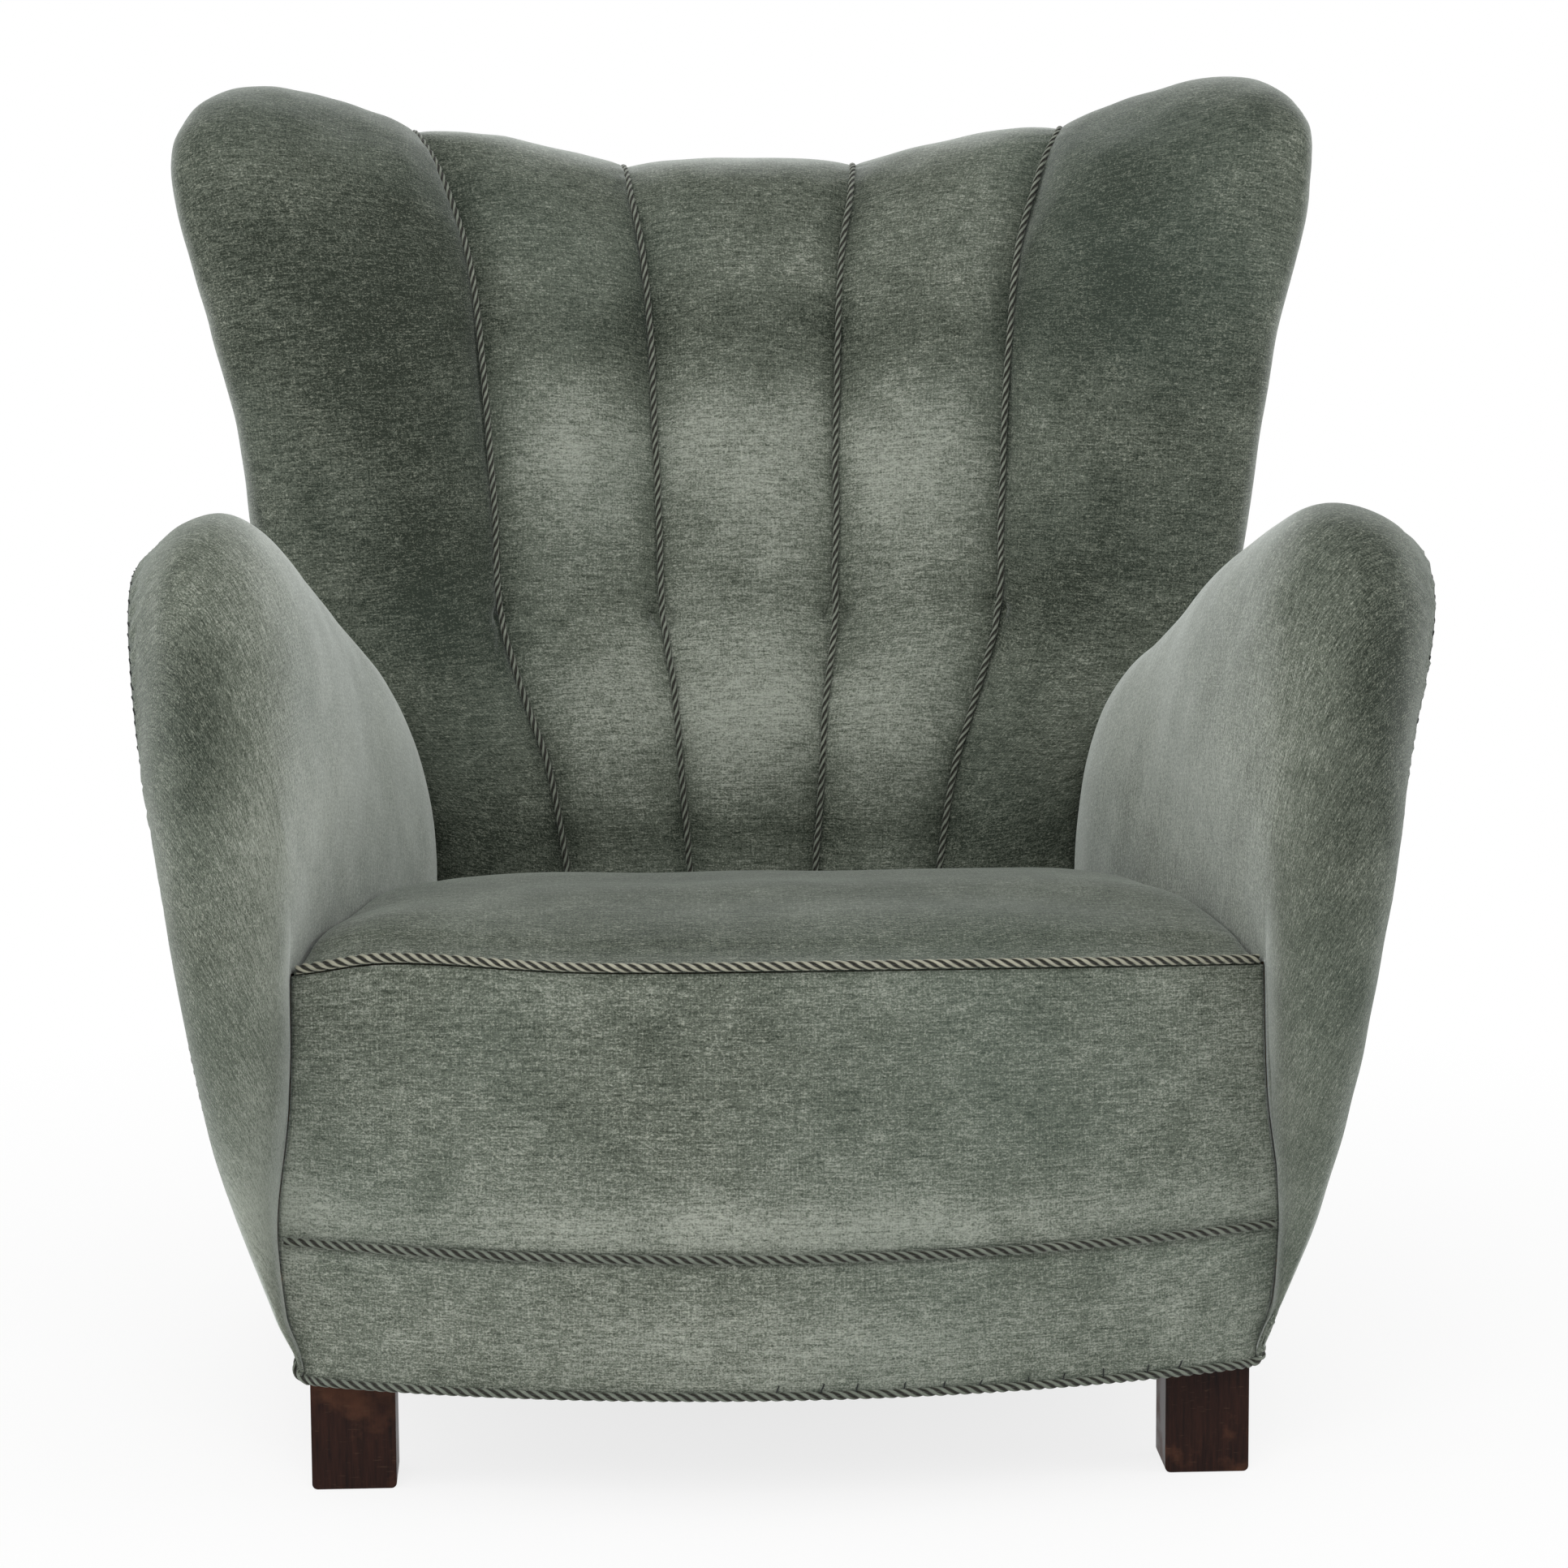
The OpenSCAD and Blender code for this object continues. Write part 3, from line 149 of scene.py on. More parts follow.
# %% Curve helpers
def at(stations, t):
    """The smooth curve through the stations, for t from 0 to 1."""
    s = np.asarray(stations, float)
    flat = s.ndim == 1
    if flat:
        s = s[:, None]
    n = len(s) - 1
    x = np.clip(np.asarray(t, float), 0, 1) * n
    i = np.minimum(np.floor(x).astype(int), n - 1)
    f = (x - i)[..., None]
    b, c = s[i], s[i + 1]
    a = np.where((i > 0)[..., None], s[np.maximum(i - 1, 0)], 2 * b - c)
    d = np.where((i < n - 1)[..., None], s[np.minimum(i + 2, n)], 2 * c - b)
    p = (2 * b + (c - a) * f + (2 * a - 5 * b + 4 * c - d) * f**2 + (3 * b - a - 3 * c + d) * f**3) / 2
    return p[..., 0] if flat else p


def arch(k, s):
    """The cubic arch from guide k[0] to k[3], pulled towards k[1] and k[2]."""
    s = s[..., None]
    return k[0] * (1 - s)**3 + 3 * k[1] * (1 - s)**2 * s + 3 * k[2] * (1 - s) * s * s + k[3] * s**3


def eased(s):
    return (1 - np.cos(np.pi * s)) / 2


def mix(a, b, t):
    return a + (b - a) * t


def bump(x, centre, width):
    """1 at the centre, and close to 0 two widths away."""
    return np.exp(-((x - centre) / width)**2)


def step(x, low, high):
    """0 below low and 1 above high, with a soft change between."""
    f = np.clip((x - low) / (high - low), 0, 1)
    return f * f * (3 - 2 * f)


print("middle of a test seam:", at([0, 1, 4], 0.5))

# %% [markdown]
# ## Grids
# Cloth is woven in rows and columns, so each cover is a grid of points: t runs up the rows and s
# across the columns. A sculpted mesh could take any shape too, but only a grid keeps the weave
# square, and it gives each point its normal from its neighbours.

# %% Grid helpers
def unit(v):
    return v / np.maximum(np.linalg.norm(v, axis=-1, keepdims=True), 1e-12)


def weave_grid(rows, cols):
    """Shares t and s for every point of a grid."""
    t, s = np.meshgrid(np.linspace(0, 1, rows + 1), np.linspace(0, 1, cols + 1), indexing="ij")
    return t, s


def flip(p):
    """The same points on the chair's other side."""
    return p * np.array([-1, 1, 1])


def normals(g):
    du = np.gradient(g, axis=1)
    dv = np.gradient(g, axis=0)
    return unit(np.cross(du, dv))


def whole(half):
    """A row from one end to the other, out of its half that ends in the middle."""
    return np.concatenate([half, flip(half[-2::-1])])


print("a small grid:", weave_grid(2, 3)[0].shape)

# %% [markdown]
# ## Seams of the back
# Two seams on each side part the back into a middle channel, two side channels and two wings.
# The seams start under the seat, kink at the waist, open towards the top and run over it to the
# rear. They could be traced as curves in one plane, but they run over a rounded top, so each
# station is a point in space, as shares across, along and up.

# %% Patterns of the back
INNER_SEAM = places([[0.14, 1, 1.81], [0.15, 1, 1.95], [0.165, 1.01, 2.19], [0.18, 1.07, 2.39],
    [0.205, 1.14, 2.585], [0.21, 1.21, 2.83], [0.22, 1.32, 3.22], [0.235, 1.4, 3.5],
    [0.26, 1.49, 3.68], [0.275, 1.63, 3.765], [0.28, 1.8, 3.74], [0.28, 1.95, 3.61]])
OUTER_SEAM = places([[0.42, 0.99, 1.81], [0.435, 0.98, 1.95], [0.47, 0.985, 2.19],
    [0.53, 1.02, 2.39], [0.59, 1.075, 2.61], [0.595, 1.13, 2.845], [0.62, 1.235, 3.265],
    [0.65, 1.32, 3.535], [0.705, 1.43, 3.72], [0.77, 1.58, 3.85], [0.785, 1.75, 3.82],
    [0.78, 1.905, 3.67]])
WING_RISE = places([[0.5, 0.915, 1.81], [0.545, 0.9, 2.1], [0.6, 0.895, 2.42],
    [0.675, 0.925, 2.77], [0.72, 0.985, 3.37], [0.79, 1.2, 3.82], [0.91, 1.54, 4.01],
    [0.925, 1.8, 3.755]])
WING_ROLL = places([[0.7, 0.9, 1.81], [0.82, 0.88, 2.14], [1.36, 0.87, 2.41],
    [1.8, 0.86, 2.75], [2.24, 0.89, 3.38], [2.48, 0.92, 3.99], [1.86, 1.3, 4.115],
    [1.3, 1.64, 3.9]])
WING_SEAM = places([[0.8, 0.955, 1.81], [0.8, 0.97, 2.16], [1.22, 1.245, 2.385],
    [1.38, 1.295, 2.73], [1.55, 1.32, 3.28], [1.79, 1.335, 3.575], [1.86, 1.4, 3.8],
    [1.66, 1.5, 3.9]])
print("highest station of the wing: %.3f m" % WING_ROLL[:, 2].max())

# %% [markdown]
# ## Channels and wings
# A channel is a tube of stuffing under cloth: crowned between its seams and pinched at the waist.
# A wing rolls forward from its seam and back to the outside. Cloth pressed up from below would
# give the crowns too, but not the exact seams, so the crown is a power of a sine laid between
# two seams, and the wing is an arch over four guides.

# %% Channels and wings
CROWN_SHARES = [0.7, 0.8, 0.9, 0.85, 0.7, 0.85, 1, 1, 0.8, 0.42, 0.3, 0.05]
CROWN_POWER = 0.7
WAIST_T = 4 / (len(INNER_SEAM) - 1)
KINK_REACH = 0.07
TANGENT_REACH = 0.01
BACK_ROWS = 216
MIDDLE_COLS, SIDE_COLS, WING_COLS = 44, 40, 84


def seam(stations, t):
    """A seam's curve, with a sharp kink where the waist's stitches hold it."""
    corners = np.linspace(0, 1, len(stations))
    straight = np.stack([np.interp(t, corners, stations[:, k]) for k in range(3)], axis=-1)
    return mix(at(stations, t), straight, bump(t, WAIST_T, KINK_REACH)[..., None])


def channel(a, b, t, s):
    p, q = seam(a, t), seam(b, t)
    room = unit(q - p) * FIT / 2
    e = eased(s)
    upward = at(a, np.minimum(t + TANGENT_REACH, 1)) - at(a, np.maximum(t - TANGENT_REACH, 0))
    out = unit(np.cross(q - p, upward))
    rise = CHANNEL_CROWN * at(CROWN_SHARES, t) * (4 * e * (1 - e))**CROWN_POWER
    return mix(p + room, q - room, e[..., None]) + out * rise[..., None]


def wing(t, s):
    k = [seam(OUTER_SEAM, t)] + [at(g, t) for g in (WING_RISE, WING_ROLL, WING_SEAM)]
    k[0] = k[0] + unit(k[1] - k[0]) * FIT / 2
    return arch(k, s)


middle_channel = channel(flip(INNER_SEAM), INNER_SEAM, *weave_grid(BACK_ROWS, MIDDLE_COLS))
side_channel = channel(INNER_SEAM, OUTER_SEAM, *weave_grid(BACK_ROWS, SIDE_COLS))
wing_face = wing(*weave_grid(BACK_ROWS, WING_COLS))
print("wing: %.3f to %.3f m high" % (wing_face[..., 2].min(), wing_face[..., 2].max()))

# %% [markdown]
# ## The front
# The front is a bowed drum in two parts, a tall border and a low apron, with a cord between. A
# bent plane would do from afar. Here the bow is part of a circle, and each band swells a
# little between its cords, because that swell is what catches the light.

# %% Patterns of the front
FRONT_HALF = [1.025, 1.11, 1.025, 1]
FRONT_SET = [0.17, 0.162, 0.16, 0.165]
EDGE_POWER = 6
BORDER_ROWS, APRON_ROWS, FRONT_COLS = 60, 36, 220


def bow_y(u, half, depth):
    """How far a bowed edge lies behind its middle, for u from -1 to 1."""
    r = (half * half + depth * depth) / (2 * depth)
    return (r - depth) - np.sqrt(r * r - (u * half)**2)


def front_line(c, u):
    """A place on the front: c is 0 at the hem, 1 at the border's cord and 2 at the seat's."""
    share = np.where(c <= 1, c / 3, (1 + 2 * (c - 1)) / 3)
    half, y = across(at(FRONT_HALF, share)), along(at(FRONT_SET, share))
    low = mix(HEM_Z + CORD, BORDER_Z, c)
    high = mix(BORDER_Z, SEAT_Z - SEAT_DROP * u * u, c - 1)
    return np.stack([u * half, y + bow_y(u, half, BOW), np.where(c <= 1, low, high)], axis=-1)


def front(c, u):
    w = np.where(c <= 1, c, c - 1)
    p = front_line(c, u)
    swell = BORDER_BULGE * np.maximum(4 * w * (1 - w), 0)**CROWN_POWER * (1 - np.abs(u)**EDGE_POWER)
    lean = np.stack([p[..., 0] * BOW / HALF_SEAT**2 * 2, -np.ones_like(u), 0 * u], axis=-1)
    return p + swell[..., None] * unit(lean)


def front_band(low, high, rows, cols):
    t, s = weave_grid(rows, cols)
    return front(mix(low, high, eased(t)), 2 * s - 1)


border = front_band(1 + FIT / SEAT_Z, 2 - TUCK / (SEAT_Z - BORDER_Z), BORDER_ROWS, FRONT_COLS)
apron = front_band(0, 1 - FIT / SEAT_Z, APRON_ROWS, FRONT_COLS)
print("border is %.0f mm high" % (1000 * np.ptp(border[..., 2])))

# %% [markdown]
# ## The arms
# Each arm is one piece of velour from the seat over the nose and down the front to the hem. A
# tube with a bent path could stand for it, but the real piece changes its section all the way.
# So four rows of stations guide an arch: the foot beside the seat, the inner rise, the roll
# over the top and the seam of the outside.

# %% Patterns of the arms
SIDE_LINE = [[1, 0.165], [0.94, 0.33], [0.84, 0.55], [0.745, 0.79], [0.75, 1]]
SIDE_EDGE = [1.95, 2, 2, 1.95, 1.9]
ARM_FOOT = [1.95, 1.89, 1.845, 1.82, 1.81]
ARM_RISE = places([[0.72, 0.965, 2.27], [0.72, 0.79, 2.37], [0.79, 0.54, 2.56],
    [0.87, 0.22, 2.67], [0.955, 0.045, 2.4], [1.09, 0.035, 1.815], [1.125, 0.1, 1.41],
    [1.05, 0.145, 1.03]])
ARM_ROLL = places([[0.85, 0.965, 2.63], [0.84, 0.77, 2.8], [0.96, 0.505, 3.1],
    [1.1, 0.2, 3.29], [1.53, -0.03, 3.07], [1.75, 0.02, 2.12], [1.48, 0.075, 1.575],
    [1.06, 0.145, 1.05]])
ARM_SEAM = places([[1.32, 0.965, 2.42], [1.665, 0.78, 2.485], [1.89, 0.54, 2.7],
    [1.976, 0.33, 2.86], [1.976, 0.22, 2.69], [1.775, 0.2, 2.17], [1.515, 0.19, 1.595],
    [1.05, 0.18, 1.05]])
ARM_ROWS = 16
SEAT_ROWS = 9
CORNER = SEAT_ROWS / ARM_ROWS


def side_line(v):
    s = at(SIDE_LINE, v)
    return np.stack([across(s[..., 0]), along(s[..., 1])], axis=-1)


def arm_foot(t):
    v = 1 - np.minimum(t / CORNER, 1)
    e = side_line(v)
    rear = np.stack([e[..., 0] + FIT, e[..., 1], up(at(ARM_FOOT, v))], axis=-1)
    c = np.clip(2 * (1 - t) / (1 - CORNER), 0, 2)
    fore = front_line(c, np.ones_like(t)) + np.array([2 * FIT, 0, 0])
    return np.where((t <= CORNER)[..., None], rear, fore)


def arm(t, s):
    return arch([arm_foot(t), at(ARM_RISE, t), at(ARM_ROLL, t), at(ARM_SEAM, t)], s)


print("the arm's seam is at most %.3f m out" % ARM_SEAM[:, 0].max())

# %% [markdown]
# ## Where two covers meet
# The arm's rear edge and the seat's edges are pushed against the back and the arms until they
# touch. A shrinkwrap modifier could pull them there. Casting straight lines at a coarse copy of
# the other cover is the way of the solid part, and it lands on the same places.

# %% Casting lines
def triangles(g):
    """Two triangles for each cell of a grid."""
    a, b, c, d = g[:-1, :-1], g[1:, :-1], g[1:, 1:], g[:-1, 1:]
    lower, upper = np.stack([a, b, c], -2), np.stack([a, c, d], -2)
    return np.concatenate([lower.reshape(-1, 3, 3), upper.reshape(-1, 3, 3)])


def cast(tris, axis, u, w):
    """Nearest place along an axis (1 is Y, 0 is X) where the line through u and w meets a face."""
    i, k = (0, 2) if axis == 1 else (1, 2)
    a, b, c = tris[:, 0], tris[:, 1], tris[:, 2]
    d = (b[:, i] - a[:, i]) * (c[:, k] - a[:, k]) - (c[:, i] - a[:, i]) * (b[:, k] - a[:, k])
    d = np.where(np.abs(d) < 1e-12, np.nan, d)
    p = ((u - a[:, i]) * (c[:, k] - a[:, k]) - (c[:, i] - a[:, i]) * (w - a[:, k])) / d
    q = ((b[:, i] - a[:, i]) * (w - a[:, k]) - (u - a[:, i]) * (b[:, k] - a[:, k])) / d
    hit = (p >= 0) & (q >= 0) & (p + q <= 1)
    places_hit = (a[:, axis] + p * (b[:, axis] - a[:, axis]) + q * (c[:, axis] - a[:, axis]))[hit]
    return places_hit.min() if len(places_hit) else None


COARSE_ROWS = 18
coarse_back = np.concatenate([
    triangles(channel(flip(INNER_SEAM), INNER_SEAM, *weave_grid(COARSE_ROWS, 6))),
    triangles(channel(INNER_SEAM, OUTER_SEAM, *weave_grid(COARSE_ROWS, 6))),
    triangles(wing(*weave_grid(COARSE_ROWS, 8)))])
print("triangles of the coarse back:", len(coarse_back))

# %% Arms against the back
BESIDE_WING = 1.08
FINE_ARM_ROWS, ARM_COLS, COARSE_ARM_COLS = 208, 84, 9
TAIL_INWARD = 0.0022
TAIL_BACK = 0.004


def back_y(x, z, room):
    """The front of the back at x and z, or of the places one room beside them if that is nearer."""
    found = [cast(coarse_back, 1, abs(x + dx), z + dz)
        for dx, dz in ((0, 0), (room, 0), (-room, 0), (0, room), (0, -room))]
    return min(float(along(BESIDE_WING)) if y is None else y for y in found) - FIT


def arm_face(rows, cols):
    """The arm from its back over the nose to the hem, its outer seam first."""
    t, s = weave_grid(rows, cols)
    g = arm(t, 1 - s)
    meet = np.array([back_y(p[0], p[2], 2 * COVER) for p in g[0]]) - g[0, :, 1]
    near = np.clip(1 - t * ARM_ROWS, 0, 1)
    g[..., 1] += near * meet[None, :]
    return g


# The tail of the fine arm goes behind the apron, as the real one is tucked under it
arm_cover = arm_face(FINE_ARM_ROWS, ARM_COLS)
arm_tail = step(np.linspace(0, 1, len(arm_cover)), 0.9, 1)[:, None]
arm_cover[..., 0] -= TAIL_INWARD * arm_tail
arm_cover[..., 1] += TAIL_BACK * arm_tail
coarse_arm = arm_face(ARM_ROWS, COARSE_ARM_COLS)
print("arm nose at %.3f m" % arm_cover[..., 2].max())

# %% [markdown]
# ## The seat
# The seat is sprung and crowned, and its front edge is bowed and sags a little to both sides. A
# squashed box with rounded edges looks stiff here. So each row from the front to the back takes
# its width from the arms, its crown from a short list, and its last row from the back.

# %% Pattern of the seat
SEAT_RISE = [0, 0.55, 0.85, 1, 1, 0.9, 0.65, 0.3, 0]
SEAT_EASE = 0.6
SEAT_ROOM = HALF_SEAT / 28
FINE_SEAT_ROWS, SEAT_COLS = 108, 160


def seat_face(rows, cols):
    t, s = weave_grid(rows, cols)
    inner_side = triangles(coarse_arm[:, 5:])
    g = np.zeros(t.shape + (3,))
    for i, v in enumerate(t[:, 0]):
        e = side_line(v)
        z = float(up(at(SIDE_EDGE, v)))
        arm_x = cast(inner_side, 0, e[1], z + SEAT_CROWN / 2)
        half = (e[0] if arm_x is None else min(e[0], arm_x)) - 2 * FIT
        u = 2 * mix(s[i], eased(s[i]), SEAT_EASE) - 1
        edge = mix(SEAT_Z - SEAT_DROP, z, min(v * SEAT_ROWS, 1))
        rise = SEAT_CROWN * at(SEAT_RISE, v) * np.sqrt(np.maximum(1 - np.abs(u)**EDGE_POWER, 0))
        g[i, :, 0] = u * half
        g[i, :, 1] = e[1] + bow_y(u, e[0], BOW) * (1 - v)
        g[i, :, 2] = edge + rise + SEAT_DROP * (1 - u * u) * (1 - v)**4
    meet = np.array([back_y(p[0], p[2], SEAT_ROOM) for p in g[-1]]) - g[-1, :, 1]
    near = np.clip(1 - (1 - t) * SEAT_ROWS, 0, 1)
    g[..., 1] += near * meet[None, :]
    return g


seat = seat_face(FINE_SEAT_ROWS, SEAT_COLS)
print("seat crown at %.3f m" % seat[..., 2].max())

# %% [markdown]
# ## The outsides
# The outside back and the outside arms are plain panels, stretched over the frame and sewn blind
# along the edges. A subdivided plane could follow them too. Here a coarse net of points in the
# solid part's own levels is smoothed by the same curves as the seams.

# %% Lines of the outside back
LOWER_EDGE = places([[0.975, 1.54, 1.04], [1.05, 1.48, 1.55], [1.16, 1.38, 2], [1.22, 1.245, 2.385]])
REAR_LINES = [places(t) for t in (
    [[0, 1.62, 1.04], [0, 1.74, 1.69], [0, 1.86, 2.37], [0, 1.95, 2.895],
        [0, 2, 3.37], [0, 1.95, 3.61]],
    [[0.28, 1.615, 1.04], [0.28, 1.735, 1.69], [0.28, 1.855, 2.37], [0.28, 1.94, 2.895],
        [0.28, 1.99, 3.37], [0.28, 1.95, 3.61]],
    [[0.705, 1.6, 1.04], [0.72, 1.705, 1.69], [0.75, 1.805, 2.37], [0.77, 1.88, 2.895],
        [0.78, 1.94, 3.37], [0.78, 1.905, 3.67]])]
WING_FOOT = 2 / 7
WING_FOOT_LEVEL = 0.4
REAR_SEAM_ROWS = (6, 8, 10, 12, 13, 14, 15, 16, 17)
REAR_ROWS, REAR_COLS = 140, 120


def refine(net, rows, cols):
    """A smooth fine grid through a coarse one."""
    t, s = np.linspace(0, 1, rows + 1), np.linspace(0, 1, cols + 1)
    tall = np.stack([at(net[:, j], t) for j in range(net.shape[1])], axis=1)
    return np.stack([at(tall[i], s) for i in range(rows + 1)], axis=0)


def seam_level(i):
    """The level on the outside back of row i of the coarse wing."""
    return mix(WING_FOOT_LEVEL, 1, (i / COARSE_ROWS - WING_FOOT) / (1 - WING_FOOT))


def rear_edge(w):
    """Side edge at level w: below, the outside arm's line, and above, the wing's seam."""
    if w <= WING_FOOT_LEVEL:
        return at(LOWER_EDGE, w / WING_FOOT_LEVEL)
    return at(WING_SEAM, mix(WING_FOOT, 1, (w - WING_FOOT_LEVEL) / (1 - WING_FOOT_LEVEL)))


def rear_row(w):
    middle, inner, outer = (at(line, w) for line in REAR_LINES)
    r = rear_edge(w)
    line = [flip(inner), middle, inner, outer, r + unit(outer - r) * FIT]
    half = at(line, (1 + 3 * np.linspace(1, 0, 7)) / 4)
    return whole(half)


print("lines of the outside back:", len(REAR_LINES))

# %% The outside back
MIDDLE_STOPS = (22, 37, MIDDLE_COLS)
SIDE_STOPS = (0, 20, SIDE_COLS)
WING_STOPS = (0, 42, WING_COLS)
REAR_STEP = np.array([0, FIT, -FIT])
top_half = np.array([middle_channel[-1, MIDDLE_STOPS[0]], middle_channel[-1, MIDDLE_STOPS[1]],
    INNER_SEAM[-1], side_channel[-1, SIDE_STOPS[1]], OUTER_SEAM[-1],
    wing_face[-1, WING_STOPS[1]], WING_SEAM[-1]])[::-1] + REAR_STEP
low_levels = [WING_FOOT_LEVEL * k / 4 for k in range(5)]
rear_levels = low_levels + [seam_level(i) for i in REAR_SEAM_ROWS]
rear_net = np.array([rear_row(w) for w in rear_levels] + [whole(top_half)])
rear_face = refine(rear_net, REAR_ROWS, REAR_COLS)
print("outside back: %.3f m wide" % np.ptp(rear_face[..., 0]))

# %% [markdown]
# ## The seam over the top
# The covers of the back run over the top and are sewn to the outside back along one line. A net
# of seven points a side only comes near that line, and a slit would show from behind. A wider
# overlap would hide it, but here the last rows are drawn onto the covers' own end points.

# %% The top row made exact
TOP_FROM = 118
SHARE = 1 / 3
half_way = np.linspace(0, 1, REAR_COLS // 2 + 1)


def end_row(grid, part, stops):
    """Points on a cover's last row, for one of the three parts of the half panel."""
    shares = np.linspace(part * SHARE, 1 if part == 2 else (part + 1) * SHARE, len(stops))
    return at(grid[-1], np.interp(half_way, shares, stops) / (grid.shape[1] - 1))


exact = np.where(half_way[:, None] <= SHARE, end_row(middle_channel, 0, MIDDLE_STOPS),
    np.where(half_way[:, None] <= 2 * SHARE, end_row(side_channel, 1, SIDE_STOPS),
        end_row(wing_face, 2, WING_STOPS)))[::-1] + REAR_STEP
top_miss = whole(exact) - rear_face[-1]
drawn = step(np.arange(REAR_ROWS + 1), TOP_FROM, REAR_ROWS)
rear_face = rear_face + drawn[:, None, None] * top_miss[None]
print("top row moved by at most %.1f mm" % (1000 * np.linalg.norm(top_miss, axis=1).max()))

# %% The outside arms
PANEL_BULGE = 0.035
PANEL_ROWS, PANEL_COLS = 90, 60
LOWER_ROWS = 3
TOP_ROW = 9
arm_edge = coarse_arm[:, 0]


def panel_row(k):
    """Row k of the net, from the front seam to the rear one. The top row has a corner."""
    a = arm_edge[ARM_ROWS - k] + np.array([0, TUCK, 0 if k < TOP_ROW else -TUCK])
    if k <= LOWER_ROWS:
        b = at(LOWER_EDGE, k / LOWER_ROWS) - np.array([0, TUCK, 0 if k < LOWER_ROWS else TUCK])
    else:
        b = arm_edge[k - LOWER_ROWS - 1] - np.array([0, 0, TUCK])
    s = np.linspace(0, 1, 7)[:, None]
    if k < TOP_ROW:
        swell = np.linalg.norm(b - a) * PANEL_BULGE * 4 * s * (1 - s)
        return mix(a, b, s) + swell * np.array([1, 0, 0])
    top = arm_edge[ARM_ROWS - TOP_ROW - 1] - np.array([0, 0, TUCK])
    return np.where(s < 0.5, mix(a, top, 2 * s), mix(top, b, 2 * s - 1))


panel_net = np.array([panel_row(k) for k in range(TOP_ROW + 1)])
panel_face = refine(panel_net, PANEL_ROWS, PANEL_COLS)
print("outside arm: %.3f m long" % np.ptp(panel_face[..., 1]))

# %% [markdown]
# ## Waves, gathers and folds
# Velour over stuffing is never quite smooth. Seams pull small gathers, the waist of the back has
# folds that fan out from the cords, and years of use leave shallow waves. They could be sculpted
# or simulated. Here each is a small move along the surface's own normal, which leaves the
# seams where they were cut.

# %% Waves
WAVE_SCALE = 2.6


def lengths(g, axis):
    """How far along the cloth each point of a grid lies, in metres."""
    d = np.linalg.norm(np.diff(g, axis=axis), axis=-1)
    first = np.zeros_like(np.take(d, [0], axis=axis))
    return np.concatenate([first, np.cumsum(d, axis=axis)], axis=axis)


def waves(p, wavelength, seed):
    """Seven plane waves in random directions, each near the given wavelength."""
    rng = np.random.default_rng(seed)
    total = 0
    for _ in range(7):
        k = unit(rng.normal(size=3)) * 2 * np.pi / (wavelength * rng.uniform(0.7, 1.5))
        total = total + np.sin(p @ k + rng.uniform(0, 2 * np.pi))
    return total / WAVE_SCALE


print("a wave at the origin: %.3f" % waves(np.zeros(3), 0.1, 1))

# %% Gathers and folds
def gathers(run, away, wavelength, reach, seed):
    """Small pleats that start at an edge: run goes along it and away leads from it."""
    rng = np.random.default_rng(seed)
    total = 0
    for _ in range(4):
        k = 2 * np.pi / (wavelength * rng.uniform(0.75, 1.3))
        lean = rng.uniform(-0.25, 0.25)
        total = total + np.sin((run + lean * away) * k + rng.uniform(0, 2 * np.pi))
    return total / 2 * np.exp(-(away / reach)**1.3)


def fold(u, v, start, angle, length, width):
    """A crease that starts at a point of the cloth and fades along its direction."""
    a = math.radians(angle)
    du, dv = u - start[0], v - start[1]
    on, off = du * math.cos(a) + dv * math.sin(a), dv * math.cos(a) - du * math.sin(a)
    return -np.exp(-(off / (width * (1 + np.maximum(on, 0) / length)))**2) * np.exp(-(on / length)**2)


def raised(g, height):
    return g + normals(g) * height[..., None]


print("a fold at its start:", fold(0, 0, (0, 0), 0, 0.05, 0.004))

# %% [markdown]
# ## The real chair's lean
# The solids are the same on both sides, and an old chair isn't. Its arms lean to one side, one
# wing is fuller, the hem is drawn up in the middle and the seat's left end is lifted. A lattice
# could bend it all. A few soft masks and millimetres say the same, and can be read.

# %% Settling, in metres
ARM_LEAN = 0.008
WING_LEAN = 0.007
SHOULDER_OUT, SHOULDER_UP = 0.008, 0.006
CORNER_PULL = 0.0045
WING_TUCK, WING_TUCK_REACH = 0.006, 0.02
HEM_LIFT = 0.004
TOP_LIFT = 0.005
INNER_TOP_DROP = 0.006
LEFT_END_LIFT, LEFT_END_X = 0.0105, -0.275


